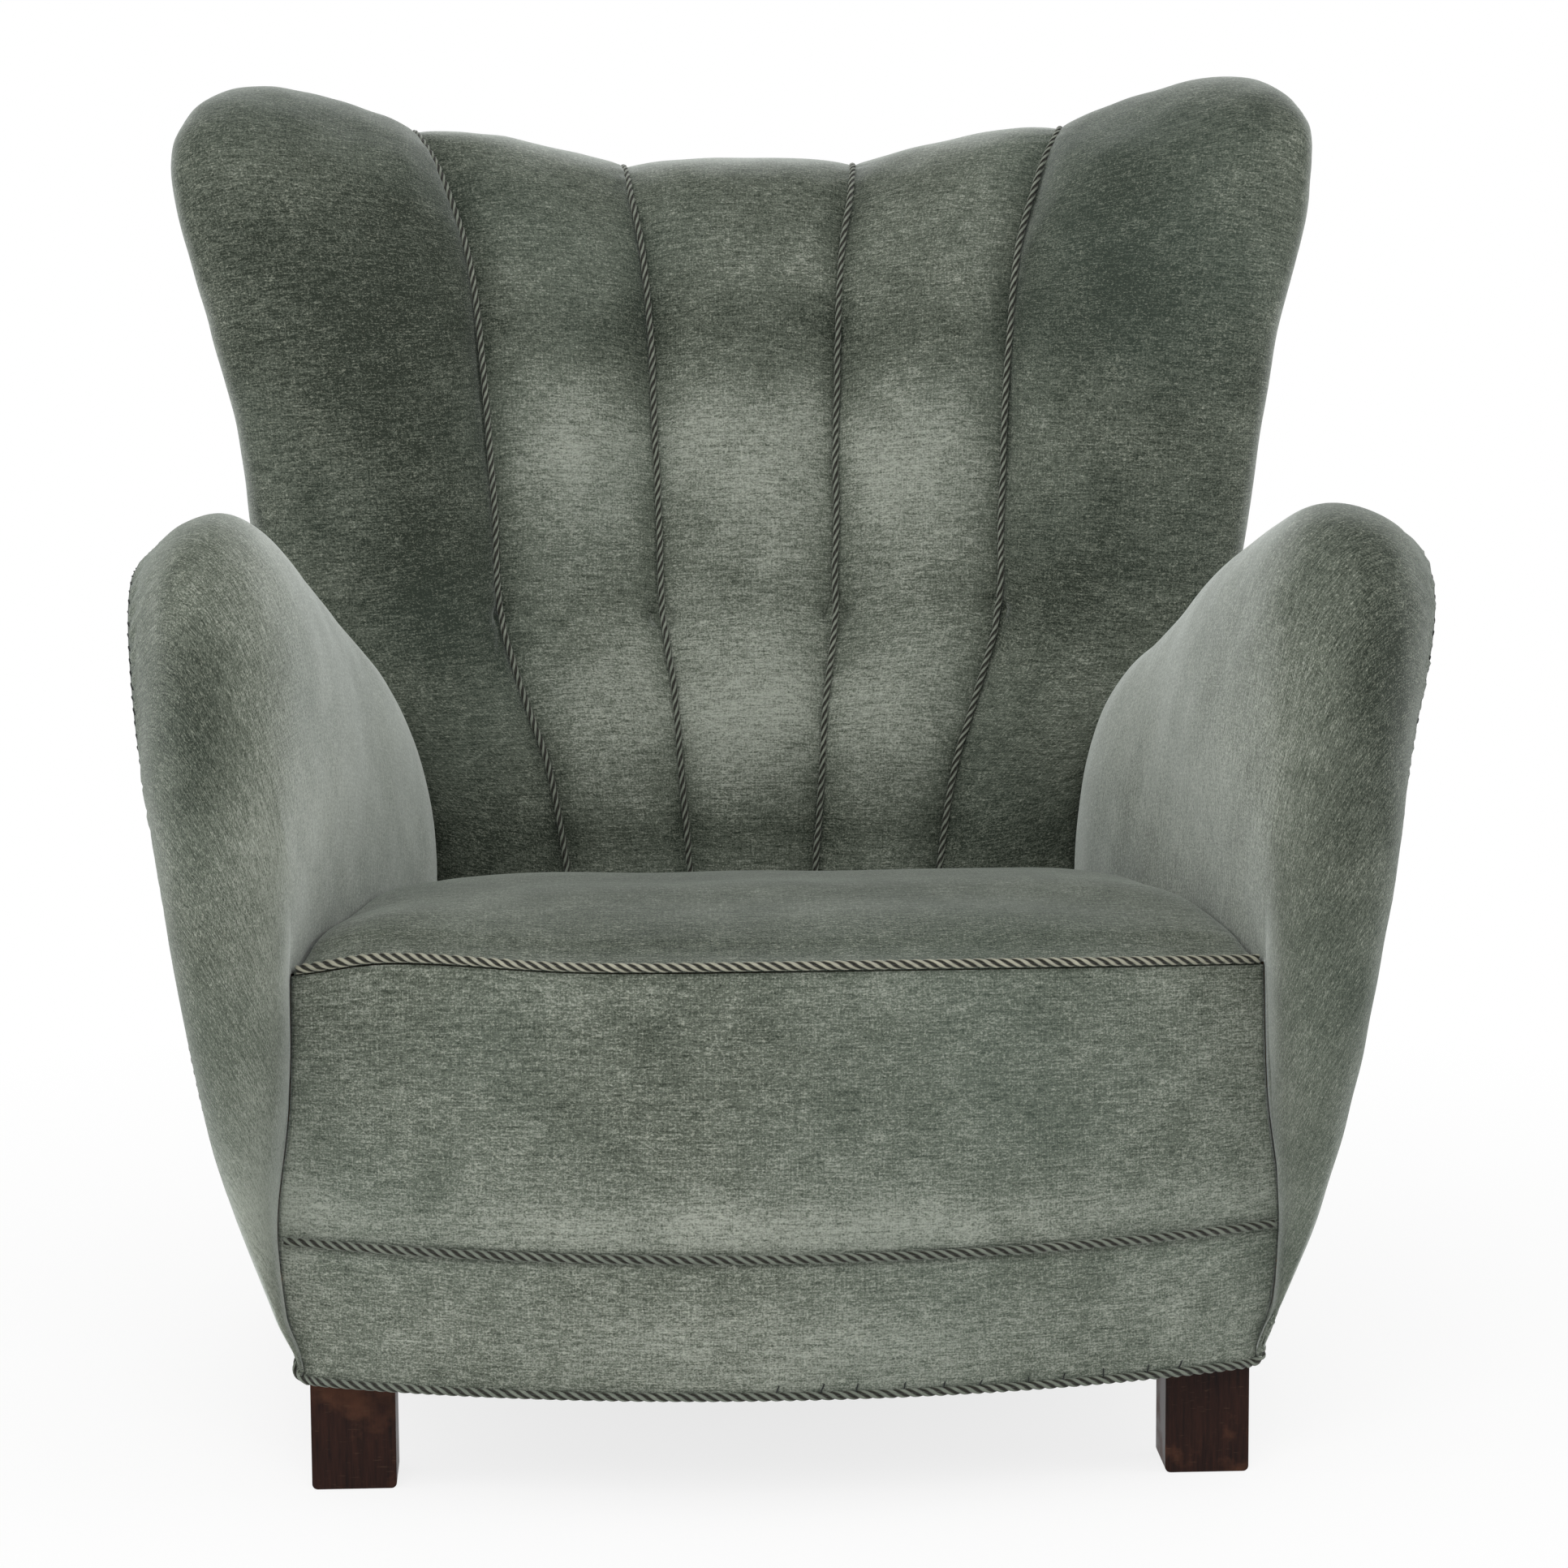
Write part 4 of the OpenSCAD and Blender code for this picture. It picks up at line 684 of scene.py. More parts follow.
def settle(p):
    """The lean and sag of the real chair, whose two sides differ by a few millimetres.

    Each mask is 1 where a part moves and fades to 0 around it, between limits in metres.
    """
    x, y, z = p[..., 0], p[..., 1], p[..., 2]
    wide = np.abs(x)
    lean = 0.25 + 0.75 * step(z, 0.5, 0.64)
    arm_band = step(z, 0.2, 0.45) * (1 - step(z, 0.72, 0.8))
    arms = lean * step(wide, 0.36, 0.45) * arm_band * (1 - step(y, 0.1, 0.2))
    wings = step(-x, 0.28, 0.38) * bump(z, 0.68, 0.13) * step(y, 0.1, 0.2)
    sag = 1 - np.minimum(wide / HALF_SEAT, 1)**2
    hem = sag * (1 - step(z, 0.09, 0.16)) * (1 - step(y, -0.3, -0.2))
    tops = bump(wide, 0.25, 0.06) * step(z, 0.88, 0.93)
    shoulders = step(wide, 0.34, 0.42) * step(z, 0.9, 0.95) * np.where(x > 0, 1.0, 0.6)
    inner_tops = bump(wide, 0.315, 0.045) * step(z, 0.92, 0.96)
    corners = step(wide, 0.325, 0.345) * (1 - step(z, 0.094, 0.128)) * (1 - step(y, -0.25, -0.1))
    reach = np.where(x < LEFT_END_X, 0.054, 0.095)
    left_end = bump(x, LEFT_END_X, reach) * bump(z, 0.385, 0.03) * (1 - step(y, -0.3, -0.22))
    from_corner = np.stack([wide, y, z], -1) - WING_SEAM[-1]
    wing_corner = np.exp(-np.sum(from_corner**2, axis=-1) / WING_TUCK_REACH**2)
    outwards = SHOULDER_OUT * shoulders - CORNER_PULL * corners - WING_TUCK * wing_corner
    sideways = ARM_LEAN * arms + WING_LEAN * wings + outwards * np.sign(x)
    upwards = HEM_LIFT * hem + TOP_LIFT * tops + SHOULDER_UP * shoulders * (x > 0)
    upwards = upwards - INNER_TOP_DROP * inner_tops + LEFT_END_LIFT * left_end - WING_TUCK * wing_corner
    return p + np.stack([sideways, 0 * x, upwards], axis=-1)


arm_top = np.array([0.45, -0.3, 0.66])
print("an arm's top leans by %.1f mm" % (1000 * (settle(arm_top) - arm_top)[0]))

# %% [markdown]
# ## Dress the back
# The channels are pinched at the waist, where stitches hold the cords, and the wings are
# gathered round their outer edge. A displacement map could do both, but it would need a picture.
# Here the height of every point is a sum of waves, gathers and folds, and fades at the seams.

# %% Dress the back
PULL_REACH = 0.028
WAIST_TUCK, WAIST_DIP = 0.0042, 0.0016
CHANNEL_FOLDS = ((22, 0.06), (-18, 0.05), (48, 0.035))
CHANNEL_FOLD_DEPTH = 0.0017
CHANNEL_WAVES, WING_WAVES = (0.0009, 0.0003), (0.0013, 0.0004)
CHANNEL_GATHERS, WING_GATHERS, WING_CORD_GATHERS = 0.00035, 0.0009, 0.0003
WING_FOLDS = ((25, 0.07, 0.0016), (-32, 0.09, 0.0018), (-60, 0.1, 0.0014), (-8, 0.05, 0.001))
FOLD_WIDTH = 0.0035
SEAM_FADE = 0.004


def near_top(g):
    """Fades the marks where the cover is sewn to the outside back."""
    return 1 - step(np.linspace(0, 1, len(g))[:, None], 0.98, 1)


def dress_channel(g, seed, sides):
    u, v = lengths(g, 1), lengths(g, 0)
    wide = u[:, -1:]
    waist = v[int(WAIST_T * (len(g) - 1))][None, :]
    broad, small = CHANNEL_WAVES
    height = broad * waves(g, 0.11, seed) + small * waves(g, 0.04, seed + 1)
    pull = np.exp(-u / PULL_REACH) * sides[0] + np.exp(-(wide - u) / PULL_REACH) * sides[1]
    height = height - WAIST_TUCK * pull * bump(v, waist, 0.008) - WAIST_DIP * bump(v, waist, 0.016)
    for angle, reach in CHANNEL_FOLDS:
        for away in (u, wide - u):
            crease = fold(away, v, (0, waist), angle, reach, FOLD_WIDTH)
            height = height + CHANNEL_FOLD_DEPTH * crease
    edge = np.minimum(u, wide - u)
    height = height + CHANNEL_GATHERS * gathers(v, edge, 0.017, 0.012, seed + 2)
    return raised(g, height * step(edge, 0, SEAM_FADE) * near_top(g))


def dress_wing(g, seed):
    u, v = lengths(g, 1), lengths(g, 0)
    wide = u[:, -1:]
    t = np.linspace(0, 1, len(g))[:, None]
    waist = v[int(WAIST_T * (len(g) - 1))][None, :]
    broad, small = WING_WAVES
    height = broad * waves(g, 0.13, seed) + small * waves(g, 0.045, seed + 1)
    for angle, reach, depth in WING_FOLDS:
        height = height + depth * fold(u, v, (0, waist), angle, reach, FOLD_WIDTH)
    outer = step(t, 0.34, 0.45) * (0.6 + 0.9 * step(t, 0.62, 0.8))
    height = height + WING_GATHERS * outer * gathers(v, wide - u, 0.016, 0.028, seed + 2)
    height = height + WING_CORD_GATHERS * gathers(v, u, 0.018, 0.012, seed + 3)
    return raised(g, height * step(np.minimum(u, wide - u), 0, SEAM_FADE) * near_top(g))


def mirrored(g):
    return flip(g)[:, ::-1]


middle_channel = dress_channel(middle_channel, 11, (1, 1))
side_channels = [dress_channel(side_channel, 21, (1, 0.8)),
    mirrored(dress_channel(side_channel, 31, (1, 0.8)))]
wing_faces = [dress_wing(wing_face, 41), mirrored(dress_wing(wing_face, 51))]
print("wing cover: %.2f m of cloth along its seam" % lengths(wing_face, 0)[-1].max())

# %% [markdown]
# ## Dress the arms, the seat and the front
# The cloth of an arm is pleated round its nose, where a flat piece has to turn. The seat, the
# outsides and the front carry only shallow waves and a few gathers at their cords. One helper
# for all would need many switches, so there are three short ones.

# %% Dress the arms, the seat and the front
ARM_WAVES, FRONT_WAVES = (0.0012, 0.0003), (0.0008, 0.00035)
NOSE_PLEATS, ARM_GATHERS = 0.0014, 0.0005
UPPER_GATHERS, LOWER_GATHERS = 0.0003, 0.0004


def edge_distance(u, v):
    """How far each point is from the nearest edge of its piece."""
    return np.minimum(np.minimum(u, u[:, -1:] - u), np.minimum(v, v[-1:] - v))


def dress_arm(g, seed):
    u, v = lengths(g, 1), lengths(g, 0)
    wide = u[:, -1:]
    t = np.linspace(0, 1, len(g))[:, None]
    broad, small = ARM_WAVES
    height = broad * waves(g, 0.12, seed) + small * waves(g, 0.04, seed + 1)
    nose = step(t, 0.1, 0.22) * (1 - step(t, 0.62, 0.78))
    height = height + NOSE_PLEATS * nose * gathers(v, u, 0.015, 0.026, seed + 2)
    height = height + ARM_GATHERS * (1 - nose) * gathers(v, u, 0.012, 0.01, seed + 3)
    return raised(g, height * step(np.minimum(u, wide - u), 0, 0.005) * (1 - step(t, 0.97, 1)))


def dress_plain(g, seed, amount, wavelength=0.1):
    u, v = lengths(g, 1), lengths(g, 0)
    return raised(g, amount * waves(g, wavelength, seed) * step(edge_distance(u, v), 0, 0.012))


def dress_front(g, seed):
    u, v = lengths(g, 1), lengths(g, 0)
    upright = g * np.array([1, 1, 0.35])
    broad, small = FRONT_WAVES
    height = broad * waves(g, 0.16, seed) + small * waves(upright, 0.05, seed + 1)
    height = height + LOWER_GATHERS * gathers(u, v, 0.03, 0.014, seed + 2)
    height = height + UPPER_GATHERS * gathers(u, v[-1:] - v, 0.024, 0.012, seed + 3)
    return raised(g, height * step(edge_distance(u, v), 0, 0.006))


arm_covers = [dress_arm(arm_cover, 61), mirrored(dress_arm(arm_cover, 71))]
seat = dress_plain(seat, 81, 0.0012)
border = dress_front(border, 91)
apron = dress_front(apron, 95)
panels = [dress_plain(panel_face, 101, 0.0012, 0.14),
    mirrored(dress_plain(panel_face, 105, 0.0012, 0.14))]
rear_face = dress_plain(rear_face, 111, 0.0015, 0.18)
print("arm cover: %.2f m from the back to the hem" % lengths(arm_cover, 0)[-1].max())

# %% [markdown]
# ## Meshes from arrays
# Every cover, cord and stitch becomes one mesh object that rides on the chair. Blender's
# from_pydata would take the points too, but handing over whole arrays is much quicker for
# covers of this many points. Maps and values are laid on the same way.

# %% Mesh helpers
def new_piece(name, points, faces):
    mesh = bpy.data.meshes.new(name)
    sizes = np.array([len(f) for f in faces], np.int32)
    corners = np.fromiter((i for f in faces for i in f), np.int32, int(sizes.sum()))
    mesh.vertices.add(len(points))
    mesh.vertices.foreach_set("co", np.asarray(points, np.float32).ravel())
    mesh.loops.add(len(corners))
    mesh.loops.foreach_set("vertex_index", corners)
    mesh.polygons.add(len(faces))
    starts = np.concatenate([[0], np.cumsum(sizes)[:-1]])
    mesh.polygons.foreach_set("loop_start", starts.astype(np.int32))
    mesh.update(calc_edges=True)
    mesh.validate()
    mesh.polygons.foreach_set("use_smooth", np.full(len(mesh.polygons), True))
    piece = bpy.data.objects.new(name, mesh)
    bpy.context.scene.collection.objects.link(piece)
    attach(piece, "root")
    return piece


def corner_values(mesh, values):
    index = np.zeros(len(mesh.loops), np.int32)
    mesh.loops.foreach_get("vertex_index", index)
    return values[index]


def add_map(mesh, name, values):
    layer = mesh.uv_layers.new(name=name)
    layer.data.foreach_set("uv", corner_values(mesh, values).astype(np.float32).ravel())


def add_value(mesh, name, values):
    layer = mesh.attributes.new(name, "FLOAT", "POINT")
    layer.data.foreach_set("value", values.astype(np.float32).ravel())


grids = [middle_channel, seat, border, apron, rear_face] + side_channels + wing_faces
grids = grids + arm_covers + panels
print("points in the outer faces of the covers:", sum(g.size // 3 for g in grids))

# %% [markdown]
# ## How the pile lies, with painted light and shade
# Where people have leaned and brushed, the velour's pile lies over and looks lighter or darker.
# A painted picture could hold that. Here each place is a soft spot with a position, two half
# sizes and an amount. The same spots also hold painted light and shade, such as the painted
# light on the lower back, where the seat's crown shades it. Beside the cords the covers get
# painted shade in the valleys.

# %% The pile
# Across, height, half sizes, amount of crushed pile and painted light and shade
PILE_AND_LIGHT_PLACES = np.array([(0, 0.9, 0.2, 0.06, -0.36), (0, 0.69, 0.12, 0.05, 0.32),
    (0.13, 0.68, 0.05, 0.06, 0.5), (-0.15, 0.69, 0.05, 0.06, 0.45),
    (0, 0.79, 0.3, 0.035, -0.35), (0, 0.5, 0.25, 0.05, 0.5),
    (-0.29, 0.83, 0.07, 0.1, -0.4), (0.3, 0.85, 0.07, 0.08, -0.45), (-0.26, 0.6, 0.05, 0.1, -0.35),
    (0.27, 0.62, 0.05, 0.1, -0.25), (-0.33, 0.93, 0.08, 0.025, 0.2), (0.37, 0.94, 0.07, 0.03, 0.1),
    (-0.4, 0.56, 0.03, 0.07, -0.55), (0.42, 0.58, 0.03, 0.07, -0.5), (-0.3, 0.49, 0.04, 0.08, 0.3),
    (0.3, 0.5, 0.04, 0.08, 0.3), (-0.37, 0.22, 0.05, 0.07, 0.5), (0.37, 0.24, 0.05, 0.07, 0.2),
    (0, 0.3, 0.28, 0.05, -0.2), (0, 0.345, 0.3, 0.02, -0.15), (0, 0.205, 0.32, 0.02, 0.5),
    (0, 0.12, 0.34, 0.04, 0.27), (0.23, 0.69, 0.05, 0.08, 0.3), (0, 0.4, 0.3, 0.02, -0.35)])


def pile_and_light(p):
    x, z = p[..., 0], p[..., 2]
    return sum(amount * np.exp(-((x - across_x) / half_x)**2 - ((z - height) / half_z)**2)
        for across_x, height, half_x, half_z, amount in PILE_AND_LIGHT_PLACES)


print("places where the pile is crushed:", len(PILE_AND_LIGHT_PLACES))

# %% [markdown]
# ## From a grid to a piece of cloth
# A cover is a closed shell: the outer face, a lining one cloth thickness below it and a rim
# between them. A solidify modifier could thicken a plain grid, but then the maps and values of
# the lining couldn't be set apart. The map "cloth" is in metres along the weave, for the
# pattern, and the other spreads the piece flat.

# %% A closed cover
SEAM_SHADE_REACH = 0.02
# Painted sheen: where its inside amount gives way to the outside one, and the share of it that also
# lightens or darkens the tone
SHEEN_INSIDE_X, SHEEN_OUTSIDE_X = 0.335, 0.4
SHEEN_SHARE = 0.3
# At the rim: less painted sheen, and painted shade along every seam
RIM_SHEEN, RIM_PAINTED_SHADE = 0.6, 0.25
# On the flat map the outer face is wide, and the lining a strip beside it
MARGIN, FACE_WIDE = 0.012, 0.9
LINING_FROM, LINING_WIDE = 0.945, 0.045
# Shifts the weave's pattern from cover to cover
CLOTH_SHIFT = np.array([3.1, 1.7])


def cover(name, grid, nodes, bias=0.0, sheen=(0.0, 0.0), crushed=1.0, seam_shade=0.0):
    """A closed cover from its outer grid.

    bias lightens or darkens the whole cover, crushed is its share of the soft spots of crushed
    nap and painted light and shade, sheen holds the painted sheen's amounts at the chair's inside
    and outside, and seam_shade paints shade along both side edges.
    """
    outer = settle(grid)
    inner = outer - COVER * normals(outer)
    r, c = outer.shape[:2]
    n = r * c
    i, j = np.meshgrid(np.arange(r - 1), np.arange(c - 1), indexing="ij")
    p = (i * c + j).ravel()
    skin = np.stack([p, p + 1, p + 1 + c, p + c], axis=1)
    ring = np.concatenate([np.arange(c), np.arange(1, r) * c + c - 1,
        r * c - 2 - np.arange(c - 1), (r - 2 - np.arange(r - 2)) * c])
    after = np.roll(ring, -1)
    rim = np.stack([after, ring, ring + n, after + n], axis=1)
    faces = np.concatenate([skin, skin[:, ::-1] + n, rim])
    points = np.concatenate([outer.reshape(-1, 3), inner.reshape(-1, 3)])
    piece = new_piece(name, points, faces.tolist())
    u, v = lengths(grid, 1), lengths(grid, 0)
    run = np.broadcast_to(v[:, c // 2][:, None], u.shape)
    cloth = np.stack([u - u[:, -1:] / 2, run], axis=-1).reshape(-1, 2)
    cloth = cloth + points.mean(axis=0)[[0, 2]] * CLOTH_SHIFT
    t, s = weave_grid(r - 1, c - 1)
    tall = MARGIN + (1 - 2 * MARGIN) * t
    flat = np.stack([MARGIN + FACE_WIDE * s, tall], axis=-1).reshape(-1, 2)
    under = np.stack([LINING_FROM + LINING_WIDE * s, tall], axis=-1).reshape(-1, 2)
    add_map(piece.data, "cloth", np.concatenate([cloth, cloth]))
    add_map(piece.data, "OFBake", np.concatenate([flat, under]))
    edge = np.minimum(u, u[:, -1:] - u)
    at_rim = np.pad(np.zeros((r - 2, c - 2)), 1, constant_values=1)
    # Painted sheen: a painted highlight on the arms' inner sides, less or none on the outsides and
    # wings
    outside = step(np.abs(outer[..., 0]), SHEEN_INSIDE_X, SHEEN_OUTSIDE_X)
    painted_sheen = mix(sheen[0], sheen[1], outside)
    # Crushed pile and painted light and shade from the soft spots and the bias, plus a share of the
    # painted sheen
    lie_and_light = pile_and_light(outer) * crushed + bias + SHEEN_SHARE * painted_sheen
    # Painted shade along both side edges, in the valleys beside the cords
    lie_and_light = lie_and_light - seam_shade * np.exp(-(edge / SEAM_SHADE_REACH)**2)
    # At the rim: less painted sheen, and a line of painted shade along every seam
    painted_sheen, lie_and_light = (painted_sheen - RIM_SHEEN * at_rim).ravel(), (lie_and_light - RIM_PAINTED_SHADE * at_rim).ravel()
    add_value(piece.data, "pile_and_light", np.concatenate([lie_and_light, lie_and_light]))
    add_value(piece.data, "sheen", np.concatenate([painted_sheen, painted_sheen]))
    piece.data.materials.append(velour)
    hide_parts(*nodes)
    return piece


print("a cover is %.1f mm thick" % (1000 * COVER))

# %% [markdown]
# ## Writing materials as sums
# A finish is a recipe of noises, mixed and added. Its nodes could be drawn by hand in the shader
# editor. In a script, a socket wrapped in a small class can be added and multiplied, and each
# operation makes its Math node.

# %% Numbers in a shader
class Value:
    """A socket that carries a number, with arithmetic that adds Math nodes."""

    def __init__(self, nodes, socket):
        self.nodes, self.socket = nodes, socket

    def math(self, operation, *others):
        return Value(self.nodes, self.nodes.node("ShaderNodeMath", {"operation": operation},
            dict(enumerate((self,) + others))).outputs[0])

    def __add__(self, other): return self.math("ADD", other)
    def __radd__(self, other): return self.math("ADD", other)
    def __mul__(self, other): return self.math("MULTIPLY", other)
    def __rmul__(self, other): return self.math("MULTIPLY", other)
    def __sub__(self, other): return self.math("SUBTRACT", other)
    def __rsub__(self, other): return (self * -1) + other
    def __pow__(self, other): return self.math("POWER", other)

    def clamp(self): return self.math("MINIMUM", 1).math("MAXIMUM", 0)


print("operators: +, - and * with their reflected forms, and **")

# %% [markdown]
# ## One way to add a node
# All other nodes come from one method, which sets a node's type, its settings and its inputs in
# that order. Each node could be made where it is used, with a line for every link, but then the
# recipe of a finish would be lost among them. The studio's world uses the same method.

# %% One way to add a node
def set_stops(ramp, stops):
    """The colours along a ramp, whose first two stops are there already."""
    for k, (place, colour) in enumerate(stops):
        stop = ramp.elements[k] if k < 2 else ramp.elements.new(place)
        stop.position, stop.color = place, (*colour, 1)


class Nodes:
    """The nodes of a material or a world, laid down by type, settings and inputs."""

    def __init__(self, owner):
        owner.use_nodes = True
        self.tree = owner.node_tree

    def feed(self, socket, value):
        if isinstance(value, Value):
            value = value.socket
        if isinstance(value, bpy.types.NodeSocket):
            self.tree.links.new(value, socket)
        elif socket.type == "RGBA" and len(value) == 3:
            socket.default_value = (*value, 1)
        else:
            socket.default_value = value

    def node(self, kind, settings=None, inputs=None):
        made = self.tree.nodes.new(kind)
        for key, value in (settings or {}).items():
            if key == "stops":
                set_stops(made.color_ramp, value)
            else:
                setattr(made, key, value)
        for key, value in (inputs or {}).items():
            self.feed(made.inputs[key], value)
        return made


print("methods that add or feed a node:", [m for m in vars(Nodes) if m[0] != "_"])

# %% [markdown]
# ## The finish builder
# The finishes share a few steps: a noise, a ramp, a mix of colours, a relief and the painted
# values. Node groups would share them too, but a finish that reads from top to bottom is easier
# to learn from.

# %% Finish builder
def socket_name(key):
    """Principled socket names from Python ones: sheen_weight is Sheen Weight."""
    return key.replace("_", " ").title().replace("Ior", "IOR")


class Finish(Nodes):
    """A material on the Principled shader, with the steps that the finishes share."""

    def __init__(self, name, **shader):
        self.material = bpy.data.materials.new(name)
        super().__init__(self.material)
        self.shader = self.tree.nodes["Principled BSDF"]
        for socket, value in shader.items():
            self.feed(self.shader.inputs[socket_name(socket)], value)

    def ramp(self, factor, stops):
        made = self.node("ShaderNodeValToRGB", {"stops": stops}, {"Fac": factor})
        return made.outputs["Color"]

    def noise(self, vector, scale, detail=3, roughness=0.55, stretch=(1, 1, 1)):
        if stretch != (1, 1, 1):
            longer = self.node("ShaderNodeVectorMath", {"operation": "MULTIPLY"},
                {0: vector, 1: stretch})
            vector = longer.outputs[0]
        made = self.node("ShaderNodeTexNoise", {}, {"Vector": vector, "Scale": scale,
            "Detail": detail, "Roughness": roughness})
        return Value(self, made.outputs["Fac"])

    def worms(self, vector, stretch, sharpness):
        """Thin curled lines, where a stretched noise passes its middle value."""
        return (1 - (self.noise(vector, 1, 1, 0.5, stretch) - 0.5).math("ABSOLUTE") * sharpness).clamp()

    def blend(self, factor, a, b):
        made = self.node("ShaderNodeMix", {"data_type": "RGBA"}, {0: factor, 6: a, 7: b})
        return made.outputs[2]

    def surface(self, **links):
        for socket, value in links.items():
            self.feed(self.shader.inputs[socket_name(socket)], value)
        return self.material

    def relief(self, height, distance, strength):
        made = self.node("ShaderNodeBump", {}, {"Height": height, "Distance": distance,
            "Strength": strength})
        return made.outputs["Normal"]

    def on_object(self):
        return self.node("ShaderNodeTexCoord").outputs["Object"]

    def on_cloth(self):
        return self.node("ShaderNodeUVMap", {"uv_map": "cloth"}).outputs["UV"]

    def painted(self, name):
        return Value(self, self.node("ShaderNodeAttribute", {"attribute_name": name}).outputs["Fac"])


print("sheen_weight is the socket", socket_name("sheen_weight"))

# %% [markdown]
# ## The velour
# A short pile, crushed with use: broad clouds where it leans one way or the other, streaks
# across the width from the weft, and short pale curls where tufts stand up or have worn. Real
# hairs would show it best and cost the most. Here noises add up to a tone, and the tone picks a
# colour between a dark and a pale green. A curl is the line where a stretched noise passes its
# middle. At a grazing angle, by the facing of the surface, the colour is blended towards a pale
# green: a painted sheen, as strong as each point's sheen value allows.

# %% Velour
PILE_DARK = (0.026, 0.033, 0.024)
PILE_MIDDLE = (0.128, 0.145, 0.115)
PILE_PALE = (0.37, 0.395, 0.34)
WORN_TIP = (0.45, 0.455, 0.365)
# Painted sheen: the pale colours blended in at grazing angles, and their share
PAINTED_SHEEN_LOW = (0.48, 0.51, 0.48)
PAINTED_SHEEN_HIGH = (0.88, 0.92, 0.875)
DRIFT_GREEN = (0.105, 0.15, 0.125)
PAINTED_SHEEN_SHARE = 0.85
PILE_RELIEF = 0.0009


def make_velour():
    f = Finish("crushed velour", roughness=0.78, sheen_weight=0.35, sheen_roughness=0.35,
        sheen_tint=(0.82, 0.88, 0.84), specular_ior_level=0.1)
    cloth, spot = f.on_cloth(), f.on_object()
    clouds = f.noise(spot, 7.5, 4, 0.62)
    patches = f.noise(spot, 26, 3, 0.6)
    brush = f.noise(cloth, 1, 3, 0.62, (38, 300, 1))
    weft = f.noise(cloth, 1, 3, 0.62, (120, 820, 1))
    warp = f.noise(cloth, 1, 2, 0.6, (900, 120, 1))
    grain = f.noise(cloth, 620, 2, 0.6)
    fine = ((patches - 0.3) * 2).clamp() * 0.5 + 0.4
    curls = f.worms(cloth, (250, 430, 1), 13) * fine
    curls = curls + f.worms(spot, (380, 380, 460), 12) * (1 - fine) * 0.9
    tone = (clouds - 0.5) * 0.42 + (patches - 0.5) * 0.3 + (brush - 0.5) * 0.6 + (weft - 0.5) * 0.9
    tone = tone + (warp - 0.5) * 0.5 + (grain - 0.5) * 0.75 + (curls - 0.2) * 0.34
    # The painted value per point: crushed pile, painted light and shade, painted sheen and painted seam
    # shade
    tone = tone + f.painted("pile_and_light") * 0.5 + 0.47
    colour = f.ramp(tone.clamp(), [(0.06, PILE_DARK), (0.95, PILE_PALE), (0.5, PILE_MIDDLE)])
    fleck = ((curls + weft * 0.7 - 0.95) * 4).clamp() * 0.26
    colour = f.blend(fleck, colour, WORN_TIP)
    nap = ((0.84 - brush - grain) * 6).clamp() * 0.5
    colour = f.blend(nap, colour, PILE_DARK)
    drift = f.noise(spot, 3.1, 2, 0.5)
    colour = f.blend(((drift - 0.45) * 2.5).clamp() * 0.3, colour, DRIFT_GREEN)
    # Painted sheen: paler at grazing angles by the facing, as much as the point's sheen value allows
    facing = Value(f, f.node("ShaderNodeLayerWeight", {}, {"Blend": 0.5}).outputs["Facing"])
    painted_sheen = ((facing - 0.42) * 1.9).clamp() ** 1.5 * (0.72 + f.painted("sheen")).clamp()
    tips = ((curls + grain * 0.7 + clouds - 0.62) * 0.9).clamp()
    colour = f.blend(painted_sheen * PAINTED_SHEEN_SHARE, colour, f.blend(tips, PAINTED_SHEEN_LOW, PAINTED_SHEEN_HIGH))
    height = weft * 0.5 + curls * 0.35 + grain * 0.5 + brush * 0.8
    return f.surface(base_color=colour, normal=f.relief(height, PILE_RELIEF, 0.6))


velour = make_velour()
print("velour nodes:", len(velour.node_tree.nodes))

# %% [markdown]
# ## Covers
# Every cover now becomes a piece of cloth in place of the plain one of the solid part. The
# wings are made darker, the seat, seen from a low angle, gets less of the painted pale sheen,
# and the arms get painted sheen on their inner sides and less on their outer ones. One finish
# for each could say so, but then their cloth wouldn't match at the seams, so one velour is
# shared and each cover brings its own bias, painted sheen and painted seam shade.

# %% Covers
covers = [
    cover("channel_middle", middle_channel, ["channel_cover_centre"], 0.14, seam_shade=0.35),
    cover("channel_right", side_channels[0], ["channel_cover_right"], 0.02, seam_shade=0.35),
    cover("channel_left", side_channels[1], ["channel_cover_left"], -0.03, seam_shade=0.35),
    cover("wing_right", wing_faces[0], ["wing_cover_right"], -0.25,
        sheen=(-0.35, -0.35), seam_shade=0.2),
    cover("wing_left", wing_faces[1], ["wing_cover_left"], -0.29,
        sheen=(-0.35, -0.35), seam_shade=0.2),
    cover("arm_right", arm_covers[0], ["inside_arm_cover_right"], -0.15, sheen=(0.9, -0.6)),
    cover("arm_left", arm_covers[1], ["inside_arm_cover_left"], 0.12, sheen=(0.6, -0.6)),
    cover("seat_top", seat, ["seat_cover"], 0.26, sheen=(-0.6, -0.6)),
    cover("front_border_cloth", border, ["front_border"], 0.1),
    cover("apron_cloth", apron, ["apron_band"], 0.06),
    cover("outside_arm_right", panels[0], ["outside_arm_cover_right"], 0.0, crushed=0.3),
    cover("outside_arm_left", panels[1], ["outside_arm_cover_left"], 0.0, crushed=0.3),
    cover("outside_back", rear_face, ["outside_back_cover"], 0.0, crushed=0.3),
]
print("covers:", len(covers), "faces:", sum(len(c.data.polygons) for c in covers))

